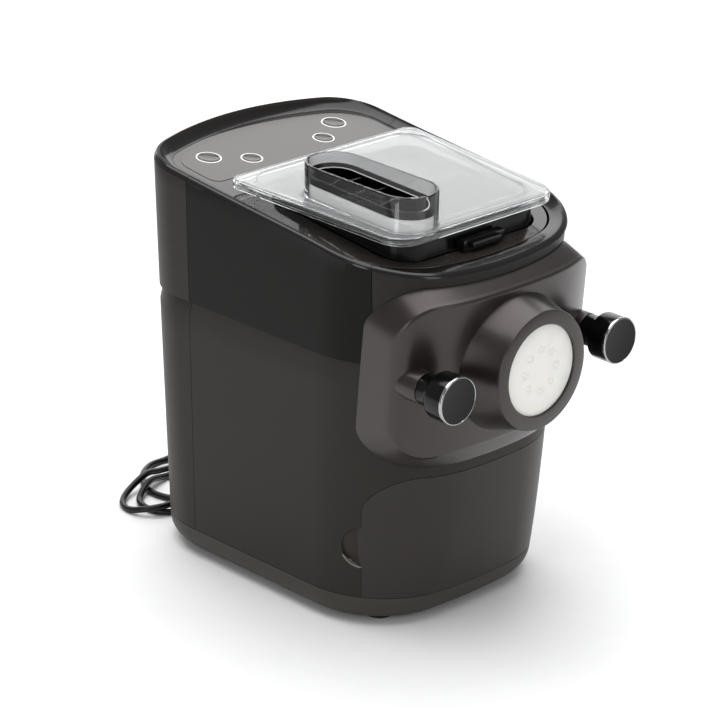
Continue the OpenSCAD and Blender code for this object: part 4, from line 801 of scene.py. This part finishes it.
def rounded(corners, inset=0.0, n=10, m=0):
    """An outline round corner circles (x, y, r), counterclockwise from above, with n steps a corner."""
    def tangent(a, b):
        return math.atan2(b[1] - a[1], b[0] - a[0]) - math.acos(
            (a[2] - b[2]) / math.hypot(b[0] - a[0], b[1] - a[1]))

    def on(c, a):
        return Vector((c[0] + (c[2] - inset) * math.cos(a), c[1] + (c[2] - inset) * math.sin(a)))
    found = []
    count = len(corners)
    for i, c in enumerate(corners):
        after = corners[(i + 1) % count]
        a0, a1 = tangent(corners[i - 1], c), tangent(c, after)
        if a1 < a0:
            a1 += math.tau
        found += [on(c, lerp(a0, a1, j / n)) for j in range(n + 1)]
        found += [on(c, a1).lerp(on(after, a1), j / (m + 1)) for j in range(1, m + 1)]
    return found


BUTTONS = {"power": (-62, 113, 9.5), "program": (-35.6, 96.3, 8.25), "start": (62, 113, 9.5),
           "weigh": (35.6, 96.3, 8.25)}
RING_W, BUTTON_GAP = 1.1, 0.25
DECK_TURN = Matrix.Rotation(DECK_TILT, 3, "X")


def circle(x, y, radius, n=48):
    """A round outline on the deck, square to it."""
    return [Vector((x, y)) + (DECK_TURN @ Vector((radius * math.cos(a), radius * math.sin(a), 0))).xy
            for a in (math.tau * k / n for k in range(n))]


def plate(loops, z_at):
    """A flat sheet between an outer outline and holes, laid on a slope."""
    bm = bmesh.new()
    edges = []
    for loop in loops:
        verts = [bm.verts.new((p.x, p.y, z_at(p.y))) for p in loop]
        edges += [bm.edges.new((verts[i], verts[(i + 1) % len(verts)])) for i in range(len(verts))]
    bmesh.ops.triangle_fill(bm, use_beauty=True, edges=edges, normal=(0, 0, 1))
    outward(bm)
    if sum(f.normal.z for f in bm.faces) < 0:
        bmesh.ops.reverse_faces(bm, faces=bm.faces)
    return bm


def deck_outline(inset):
    found = []
    for u in FULL_US:
        level = deck_z(outline(u, RIM_Z, RIM_W)[1])
        found.append(Vector(outline(u, level, RIM_W + inset)))
    return found


# Bronze-grey gloss paint on ABS: warm, dark and almost a mirror for the studio's panels
deck_paint = moulded("bronze_grey_gloss_paint", "#2E2A27", 0.09, 1.6, 0.003, rough_spread=0.02, IOR=1.5)
CONTROL_INSET, CONTROL_R, CONTROL_Y = 19.0, 8, 85.5
control_half = housing_circles(RIM_Z)[0] - CONTROL_INSET


def control_outline(inset):
    arc = [k / 4 for k in range(5)]
    front = [Vector((CONTROL_R - control_half + (CONTROL_R - inset) * math.cos(math.radians(180 + 90 * s)),
                     CONTROL_Y + (CONTROL_R - inset) * math.sin(math.radians(180 + 90 * s)))) for s in arc]
    right = [Vector((-p.x, p.y)) for p in reversed(front)]
    us = [2 - k / 16 for k in range(1, 17)] + [1 - k / 10 for k in range(1, 11)]
    rear = [Vector(outline(u, RIM_Z, CONTROL_INSET + inset)) for u in us]
    rear_right = [Vector((-p.x, p.y)) for p in rear]
    return front + right + rear_right + list(reversed(rear[:-1]))


holes = [circle(x, y, r - RING_W) for x, y, r in BUTTONS.values()]
bm = plate([deck_outline(GAP), rounded(TUB, -GAP, 12)] + holes, deck_z)
piece("deck_panel", bm, [deck_paint], "machine", ["deck"], wall=1.4, bevel=0.3)
# The control panel's lacquer is lighter and half matte, so it parts from the deck
control_paint = moulded("bronze_grey_satin_lacquer", "#47423F", 0.22, 1.6, 0.004, rough_spread=0.04,
                        IOR=1.5)
bm = plate([control_outline(0)] + [circle(x, y, r) for x, y, r in BUTTONS.values()],
           lambda y: deck_z(y) + 0.3)
piece("control_panel_plate", bm, [control_paint], "machine", ["control_panel"], wall=0.25,
      bevel=0.12)

# Light rings: four milky polycarbonate rings, pressed into the deck round the buttons. Their glow is painted
# light: no lamp is modelled under them.
# Opal polycarbonate: white, without grain, with a painted glow from its emission
ring_painted_glow, tree, _, tone = clouded("opal_polycarbonate_moulded", 300.0, 2.0, "#F1F1EE", "#FFFFFF")
shaded(tree, tone, {"Roughness": 0.35, "Emission Color": linear("#FFFFFF"), "Emission Strength": 0.25})


def on_deck(bm, x, y):
    """Stands a mesh that was turned about +Z at a point of the deck, square to it."""
    bmesh.ops.rotate(bm, cent=(0, 0, 0), matrix=DECK_TURN, verts=bm.verts)
    bmesh.ops.translate(bm, vec=(x, y, deck_z(y)), verts=bm.verts)


def upright(profile, steps=64):
    """Spins a profile of (radius, z) about the Z axis."""
    bm = turned(0, 0, profile, steps)
    bmesh.ops.rotate(bm, cent=(0, 0, 0), matrix=Matrix.Rotation(math.radians(90), 3, "X"), verts=bm.verts)
    return outward(bm)


rings = []
for x, y, r in BUTTONS.values():
    inner = r - RING_W
    ring = upright([(inner, -1.2), (r - 0.1, -1.2), (r - 0.1, 0.38), (r - 0.35, 0.58), (inner + 0.3, 0.58),
                    (inner, 0.38), (inner, -1.2)])
    on_deck(ring, x, y)
    rings.append(ring)
piece("light_ring_set", joined(rings), [ring_painted_glow], "machine", ["light_rings"])

# Buttons: round ABS caps, slightly hollow for the fingertip, that press a stem down on the board
# below. Each stands in its light ring with a fine gap.
# The caps' lacquer is a shade darker than the control panel's
button_paint = moulded("bronze_grey_button_lacquer", "#3D3936", 0.2, 1.2, 0.004, rough_spread=0.04, IOR=1.5)
for name, (x, y, r) in BUTTONS.items():
    cap = r - RING_W - BUTTON_GAP
    bm = upright([(0, 0.15), (cap * 0.5, 0.25), (cap * 0.85, 0.6), (cap - 0.5, 0.9), (cap - 0.1, 0.75),
                  (cap, 0.35), (cap, -2.4), (2.5, -2.4), (2.5, -8.9), (0, -8.9)])
    on_deck(bm, x, y)
    piece(f"{name}_cap", bm, [button_paint], f"{name}_button", [f"button_{name}"])


# Front panel: ABS in bronze metallic paint, bowed over the front, with a rolled edge, two bosses for
# the knobs and the flared ring that holds the shaping disc.
PANEL_W, PANEL_Z, PANEL_H, PANEL_R = 192.0, 126.5, 134.2, 30.0
PANEL_TOP = PANEL_Z + PANEL_H
RING_Y = -157.5
LIP_R, FLARE, FLARE_LEN = 43.3, 9.7, 33
BOSS_BORE_R = 5.4


def panel_face(x, z):
    return (-(FRONT_REACH + 12.6) + 0.0644 * (PANEL_TOP - 7.7 - z) + 13.6 * (abs(x) / 82) ** 3
            + 4 * (max(0, abs(x) - PANEL_W / 2 + 8) / 8) ** 2)


def corners_of(x0, x1, z0, z1, r):
    return [(x0 + r, z1 - r, r), (x0 + r, z0 + r, r), (x1 - r, z0 + r, r), (x1 - r, z1 - r, r)]


def narrowed(loop):
    """Draws an outline of the panel in by 2 percent towards its lower edge."""
    return [Vector((p.x * (1 - 0.02 * (PANEL_TOP - p.y) / PANEL_H), p.y)) for p in loop]


edge_loop = narrowed(rounded(corners_of(-96, 96, PANEL_Z, PANEL_TOP, PANEL_R), 0, 18, 16))
for p in edge_loop:
    if p.y > PANEL_TOP - 0.1:
        p.y -= 2.6 * max(0, 1 - (p.x / 66) ** 2)


def crease_loop(inset):
    return narrowed(rounded(corners_of(-95.7, 95.7, PANEL_Z + 12.5, PANEL_TOP - 7.7, 27), inset, 18, 16))


creases = {d: crease_loop(d) for d in (0, 0.25, 0.7, 1.4, 2.4, 4.0, 6.0)}


def panel_column(k):
    points = []
    edge = edge_loop[k]
    first = creases[0][k]
    start = front_surface(edge.x, edge.y) - 0.6
    end = panel_face(first.x, first.y) + 2.4
    for j in range(7):
        s = j / 6
        p = edge.lerp(first, s ** 1.12)
        points.append((p.x, lerp(start, end, s), p.y))
    for d, back in ((0.25, 1.5), (0.7, 0.75), (1.4, 0.25), (2.4, 0.0), (4.0, 0.0), (6.0, 0.0)):
        p = creases[d][k]
        points.append((p.x, panel_face(p.x, p.y) + back, p.y))
    inner = creases[6.0][k]
    a = math.atan2(inner.y - AXIS_Z, inner.x)
    rim = Vector((44 * math.cos(a), AXIS_Z + 44 * math.sin(a)))
    for j in range(1, 15):
        p = inner.lerp(rim, j / 14)
        points.append((p.x, panel_face(p.x, p.y), p.y))
    return points


bm = lofted([panel_column(k) for k in range(len(edge_loop))], closed=True)
face_away(bm, (0, -60, 190))
if sum(f.normal.y * f.calc_area() for f in bm.faces) > 0:
    bmesh.ops.reverse_faces(bm, faces=bm.faces)
# Metallic paint on ABS: aluminium flakes under a satin clear coat give a warm, slowly changing sheen
bronze_paint, tree, flake, tone = clouded("bronze_metallic_paint", 1400.0, 2.0, "#28211F", "#342B28")
spot = add(tree, "ShaderNodeTexCoord")
drift = add(tree, "ShaderNodeTexNoise", {"Vector": spot.outputs["Object"], "Scale": 9.0, "Detail": 1.0})
dull = add(tree, "ShaderNodeMapRange", {"Value": drift.outputs["Fac"], "To Min": 0.3, "To Max": 0.38})
sparkle = add(tree, "ShaderNodeBump", {"Height": flake, "Strength": 0.15, "Distance": 0.0001})
shaded(tree, tone, {"Roughness": dull.outputs["Result"], "Metallic": 0.6, "Coat Weight": 0.5,
                    "Coat Roughness": 0.25, "Normal": sparkle.outputs["Normal"]})
panel = piece("front_panel_shell", bm, [bronze_paint], "panel", ["front_panel"], wall=2.6)
cut(panel, [rod(-KNOB_X, AXIS_Z, BOSS_BORE_R), rod(KNOB_X, AXIS_Z, BOSS_BORE_R)])
soften(panel, 0.3)


# The ring round the disc, moulded with the panel: a plain collar that flares into the panel's face. The
# knobs bear on the two bosses beside it.
def flare(depth):
    """Radius of the collar at a depth behind its lip: a cone that widens a little faster at its foot."""
    return LIP_R + FLARE * (depth / FLARE_LEN) ** 1.3


lip = [(38.4, 33.9), (38.4, 3), (32.9, 3), (32.9, 0.5), (33.4, 0), (42.4, 0), (43.0, 0.25), (LIP_R, 0.9)]
columns = []
for k in range(160):
    a = math.tau * k / 160
    column = [(r * math.cos(a), RING_Y + y, AXIS_Z + r * math.sin(a)) for r, y in lip]
    # The cone ends where it meets the panel's bowed face
    reach = 30
    for _ in range(6):
        r = flare(reach)
        reach = panel_face(r * math.cos(a), AXIS_Z + r * math.sin(a)) - RING_Y - 0.92
    for j in range(1, 17):
        r = flare(reach * j / 16)
        column.append((r * math.cos(a), RING_Y + 0.9 + reach * j / 16, AXIS_Z + r * math.sin(a)))
    x, z = (r + 0.3) * math.cos(a), AXIS_Z + (r + 0.3) * math.sin(a)
    column.append((x, panel_face(x, z) + 1.2, z))
    column.append((50 * math.cos(a), RING_Y + 33.9, AXIS_Z + 50 * math.sin(a)))
    columns.append(column + column[:1])
bm = outward(lofted(columns, closed=True))
piece("disc_ring", bm, [bronze_paint], "panel", angle=40)
shell_y = front_surface(70, AXIS_Z) - 0.9
boss = [(BOSS_BORE_R, -127), (10.6, -127), (11.4, -126.7), (11.75, -125.9), (11.75, shell_y),
        (BOSS_BORE_R, shell_y), (BOSS_BORE_R, -127)]
bosses = joined([turned(side * KNOB_X, AXIS_Z, boss, 72) for side in (-1, 1)])
piece("knob_boss_pair", bosses, [bronze_paint], "panel")

# Shaping disc: one white acetal moulding that sits in the ring, held by its lip, with eight shallow
# round recesses and six small die holes in each.
# Acetal: a warm white with a soft sheen, a little translucent at its edges
acetal = moulded("white_acetal_moulded", "#F4F2EC", 0.42, 1.3, 0.02, mottle=0.02, IOR=1.48,
                 Subsurface_Weight=0.15, Subsurface_Scale=0.004)
DISC_Y, DIES_R = RING_Y + 1.5, 15.5
bm = turned(0, AXIS_Z, [(0, DISC_Y), (32.4, DISC_Y), (32.9, DISC_Y + 0.3), (37.6, DISC_Y + 0.3),
                        (38, DISC_Y + 0.7), (38, DISC_Y + 7), (0, DISC_Y + 7)], 128)
disc = piece("disc_moulding", bm, [acetal], "panel", ["shaping_disc"])
dies = []
for k in range(8):
    x, z = DIES_R * math.cos(math.tau * k / 8), AXIS_Z + DIES_R * math.sin(math.tau * k / 8)
    dies.append(rod(x, z, 3.6, DISC_Y - 1, DISC_Y + 0.35, 40))
    for n in range(6):
        a = math.tau * n / 6
        die_x, die_z = x + 2.1 * math.cos(a), z + 2.1 * math.sin(a)
        dies.append(rod(die_x, die_z, 0.42, DISC_Y - 1, DISC_Y + 1.2, 12))
cut(disc, dies)
soften(disc, 0.12)

# Knobs: polished black ABS with a satin face, a chromed hoop pressed round it, and a brass insert that
# screws on the stud. They hold the front panel.
KNOB_FACE_Y = -157.0
KNOB_PROFILE = [(0, 1.2), (7, 1.05), (12, 0.75), (15.8, 0.4), (15.9, 2.3), (16.7, 2.3), (17, 2.6), (17, 15.2),
                (16.75, 16.2), (16.0, 17.0), (12.4, 20.6), (11.7, 21.5), (11.5, 22.4), (11.5, 29.2),
                (11.1, 29.7), (7.6, 29.7), (7.6, 11), (5.4, 11), (5.4, 7.5), (0, 7.5)]
HOOP_PROFILE = [(15.95, 2.2), (15.95, 0.25), (16.15, 0), (16.5, 0.05), (16.9, 0.4), (17.1, 0.95), (17.1, 2.2),
                (15.95, 2.2)]
# Polished black ABS: deep black with small sharp highlights
knob_black = moulded("black_abs_knob_polished", "#080808", 0.12, 2.0, 0.006, rough_spread=0.03, IOR=1.53,
                     Specular_IOR_Level=0.22)
# The face is the same ABS with a satin grain, a shade lighter
knob_satin = moulded("black_abs_knob_satin", "#111110", 0.3, 1.0, 0.02, IOR=1.53, Specular_IOR_Level=0.16)
# Chrome plating on ABS: a cold bright mirror
chrome = moulded("chrome_plated_abs", "#A9AAAC", 0.06, 2.0, 0.004, mottle=0.02, rough_spread=0.02,
                 Metallic=1.0)
# Turned brass: yellow, with fine tool marks
brass = moulded("brass_turned", "#C2A24C", 0.25, 0.8, 0.01, Metallic=1.0)


def knob_turned(x, profile):
    """Spins a profile of (radius, depth behind the knob's face) about a knob's axis."""
    return turned(x, AXIS_Z, [(r, KNOB_FACE_Y + depth) for r, depth in profile])


for side, word in ((-1, "left"), (1, "right")):
    bm = knob_turned(side * KNOB_X, KNOB_PROFILE)
    for f in bm.faces:
        f.material_index = 1 if f.calc_center_median().y < KNOB_FACE_Y + 1.5 and f.normal.y < -0.8 else 0
    piece(f"{word}_knob_body", bm, [knob_black, knob_satin], f"{word}_knob",
          [f"knob_{word}"])
    piece(f"{word}_knob_hoop", knob_turned(side * KNOB_X, HOOP_PROFILE), [chrome], f"{word}_knob",
          [f"knob_ring_{word}"])
    finish_node(f"knob_insert_{word}", brass)


# Drawer: its front is a brown ABS moulding that follows the housing. Four stems hold it on the tray of
# grey ABS behind, which slides on runners under the chamber.
# The front's brown ABS is a shade lighter than the housing's, with the same satin grain
drawer_abs = moulded("brown_abs_drawer_satin", "#302C29", 0.42, 1.1, 0.04, IOR=1.53, Specular_IOR_Level=0.2)
us = [lerp(3.15, 4, k / 30) for k in range(30)] + [4 + k / 20 for k in range(21)]
us += [10 - u for u in reversed(us[:-1])]
levels = [lerp(BASE_H + GAP, DRAWER_TOP + 1, k / 12) for k in range(13)]
bm = lofted([[(*outline(u, z), z) for z in levels] for u in us])
face_away(bm, (0, 0, 70))
drawer = piece("drawer_front_shell", bm, [drawer_abs], "drawer", ["drawer_front"], wall=WALL)
cut(drawer, [drawer_prism(0)], "INTERSECT")
soften(drawer, 0.5)
stems = []
for x in (-46, 46):
    for z in (46, 92):
        stems.append(rod(x, z, 5, front_surface(x, z) + 2.2, -98.1, 32))
piece("drawer_stems", joined(stems), [drawer_abs], "drawer")
finish_node("drawer_tray", grey_abs)


# Inside: painted steel frame, black chamber, aluminium barrel, steel shafts, acetal gears and the
# boards. They show only where a cover is lifted or pulled off.
# The chamber's Tritan and the latch's ABS are black and smooth, and the latch is polished
chamber_abs = moulded("black_tritan_moulded", "#0B0B0C", 0.22, 1.6, 0.01, IOR=1.54, Specular_IOR_Level=0.22)
gloss_abs = moulded("black_abs_polished", "#0D0D0C", 0.14, 2.0, 0.01, rough_spread=0.03, IOR=1.53,
                    Specular_IOR_Level=0.35)
# Metal: bright turned steel, and a dull grey powder coat on the frame
steel = moulded("stainless_steel_turned", "#A9ABAD", 0.24, 0.8, 0.01, Metallic=1.0)
frame_paint = moulded("grey_powder_coat", "#6A6F73", 0.55, 0.9, 0.05, IOR=1.5)
# Plastics and rubber: cream acetal gears, dull black paddle and screw, and a soft red seal
gear_acetal = moulded("natural_acetal_hobbed", "#CFC9B8", 0.38, 1.0, 0.02, IOR=1.48)
tool_plastic = moulded("black_polypropylene_moulded", "#1B1B1C", 0.4, 1.2, 0.02, IOR=1.49)
silicone = moulded("red_silicone_moulded", "#8E3327", 0.5, 1.0, 0.02, IOR=1.42)
# Electric parts: green glossy boards, grey lacquered laminations and copper-brown enamelled wire
board_green = moulded("fr4_board_solder_mask", "#2B6040", 0.3, 2.2, 0.02, IOR=1.55)
lamination = moulded("motor_steel_lacquered", "#74777B", 0.4, 0.9, 0.03, Metallic=0.8)
copper = moulded("enamelled_copper_winding", "#8A5A32", 0.35, 0.6, 0.05, Metallic=0.9)
for name, material in {
        "inner_frame": frame_paint, "mixing_chamber": chamber_abs, "chamber_latch": gloss_abs,
        "extrusion_tube": aluminium, "tie_rods": steel, "shaft_bearings": steel, "shaft_seal": silicone,
        "gearbox_case": aluminium, "motor_housing": lamination, "motor_rotor": copper,
        "cooling_fan": soft_pvc, "layshaft": gear_acetal, "output_gear": gear_acetal, "drive_shaft": steel,
        "mixing_paddle": tool_plastic, "extrusion_screw": tool_plastic, "lid_switch": soft_pvc,
        "drawer_runners": frame_paint, "control_board": board_green, "power_board": board_green}.items():
    finish_node(name, material)


# Lid: clear SAN copolymer, injection moulded in one piece, with a turned-down skirt, a pressed line
# round its field and the oval tower of the filling slot. A dark insert sits inside the tower.
# Styrene-acrylonitrile: glass clear with a cold tint, polished, with faint flow marks
clear, tree, flow, tint = clouded("clear_san_moulded", 18.0, 2.0, "#EDF0F1", "#F8FAFA")
dull = add(tree, "ShaderNodeMapRange", {"Value": flow, "To Min": 0.015, "To Max": 0.06})
ripple = add(tree, "ShaderNodeBump", {"Height": flow, "Strength": 0.08, "Distance": 0.0004})
shaded(tree, tint, {"Roughness": dull.outputs["Result"], "IOR": 1.5, "Transmission Weight": 0.88,
                    "Normal": ripple.outputs["Normal"]})
# The same resin where the mould is mirror polished: no haze, so the upright walls stay fully clear
clear_bare, tree, _, tint = clouded("clear_san_polished_wall", 12.0, 1.0, "#F9FBFB", "#FFFFFF")
shaded(tree, tint, {"Roughness": 0.01, "IOR": 1.5, "Transmission Weight": 1.0})
LID = [(-81.5, 53, 9), (-61, -77, 20), (61, -77, 20), (81.5, 53, 9)]
FIELD = [(-57, 32, 25), (-52, -66, 16), (52, -66, 16), (57, 32, 25)]
SLOT_X, SLOT_Y, SLOT_R = -50.0, -39.0, 22
SLOT = [(SLOT_X, SLOT_Y + 34.2, SLOT_R), (SLOT_X, SLOT_Y - 34.2, SLOT_R)]


def lid_loop(points, lift):
    return [(p.x, p.y, lid_z(p.y) + lift) for p in points]


def lid_bands(corners, n, m, *steps):
    """The lid's outlines round some corners, one for each pair of inset and lift."""
    return [lid_loop(rounded(corners, inset, n, m), lift) for inset, lift in steps]


def tower_loop(inset, lift):
    """An outline of the tower, whose rim is nearer to level than the lid."""
    points = rounded(SLOT, inset, 24, 14)
    return [(p.x, p.y, lid_z(p.y) + lift * (1 + 0.0014 * (SLOT_Y + 34.2 + SLOT_R - p.y))) for p in points]


lid_outer = lid_bands(LID, 12, 10, (0.5, -6.4), (0.5, -4.6), (0.0, -4.1), (0.0, -2.0), (0.25, -0.9),
                      (0.9, -0.25), (1.9, 0), (2.6, 0))
field_top = lid_bands(FIELD, 12, 10, (-0.9, 0), (-0.3, -0.06), (0.3, -0.24), (0.9, -0.3), (1.5, -0.3))
field_under = lid_bands(FIELD, 12, 10, (1.5, -2.7), (0.6, -2.7), (-0.2, -2.3), (-1.0, -2.0))
lid_under = lid_bands(LID, 12, 10, (3.4, -2.0), (2.6, -2.25), (2.1, -3.0), (2.1, -4.3), (2.5, -4.8),
                      (2.5, -6.4), (0.5, -6.4))
tower = [tower_loop(d, lift) for d, lift in (
    (-1.6, -0.3), (-0.9, -0.1), (-0.35, 0.3), (0, 1.1), (0, 20.9), (0.25, 21.7), (0.8, 22.0), (1.4, 22.0),
    (1.9, 21.7), (2.0, 21.0), (2.0, -2.7))]
bm = joined([
    stacked(lid_outer + field_top),
    plate([[Vector(p) for p in loop] for loop in (field_top[-1], tower[0])], lambda y: lid_z(y) - 0.3),
    stacked(tower),
    plate([[Vector(p) for p in loop] for loop in (field_under[0], tower[-1])], lambda y: lid_z(y) - 2.7),
    stacked(field_under + lid_under)])
bmesh.ops.remove_doubles(bm, verts=bm.verts, dist=0.02)
outward(bm)
for f in bm.faces:
    c = f.calc_center_median()
    f.material_index = 1 if abs(f.normal.z) < 0.6 or c.z > lid_z(c.y) + 0.6 else 0
piece("clear_lid", bm, [clear, clear_bare], "lid_body", ["lid"], angle=25)

# The insert of the filling slot: black ABS with a sloped flange and three slim ribs across, moulded in one,
# with a pale painted highlight along its inner edge. A frosted band runs round the foot of the tower.
insert = stacked(lid_bands(SLOT, 24, 14, (2.15, 9.0), (2.15, 14.5), (2.9, 14.5), (6.1, 12.0), (6.1, -2.4),
                           (5.1, -2.4), (5.1, 9.0), (2.15, 9.0)))
ribs = [outward(insert)]
for k in (-1, 0, 1):
    rib = bmesh.new()
    bmesh.ops.create_cube(rib, size=1)
    bmesh.ops.scale(rib, vec=(2 * SLOT_R - 10, 1.8, 1.6), verts=rib.verts)
    round_edges(rib, rib.edges[:], 0.3, 2)
    bmesh.ops.translate(rib, vec=(SLOT_X, SLOT_Y + 24 * k, lid_z(SLOT_Y + 24 * k) + 10.2), verts=rib.verts)
    ribs.append(rib)
# Polished black ABS, darkened to the deepest black as painted shade, so the slot reads as an opening
insert_black_and_painted_shade = moulded("black_abs_insert_painted_shade", "#060606", 0.24, 1.4, 0.01, IOR=1.53, Specular_IOR_Level=0.12)
piece("slot_insert", joined(ribs), [insert_black_and_painted_shade], "lid_body", ["lid_insert"], angle=25)
# A painted highlight: a thin pale line, half matte, where the flange's inner edge catches the light
edge_painted_highlight = moulded("slot_edge_painted_highlight", "#D9D9D6", 0.4, 1.0, 0.01, IOR=1.53)
strips = lid_bands(SLOT, 24, 14, (5.5, 12.0), (5.5, 12.45), (6.15, 12.45), (6.15, 12.0), (5.5, 12.0))
# The painted highlight runs along the inner side and round both ends
around = len(strips[0])
edge_line = lofted([[loop[k % around] for loop in strips] for k in range(47, 95)])
bmesh.ops.holes_fill(edge_line, edges=edge_line.edges[:], sides=0)
piece("insert_painted_highlight_line", outward(edge_line), [edge_painted_highlight], "lid_body")
# Frosted SAN: white and matte, with a faint painted glow from its emission
frosted_band_painted_glow = moulded("frosted_san_band", "#F4F4F4", 0.5, 0.8, 0.01, IOR=1.5, Transmission_Weight=0.1,
                  Emission_Strength=0.12)
band = stacked(lid_bands(SLOT, 24, 14, (2.1, -1.5), (2.1, 1.5), (2.1, 5.0), (2.1, 8.6)))
piece("slot_frosted_band", band, [frosted_band_painted_glow], "lid_body", wall=0.5)
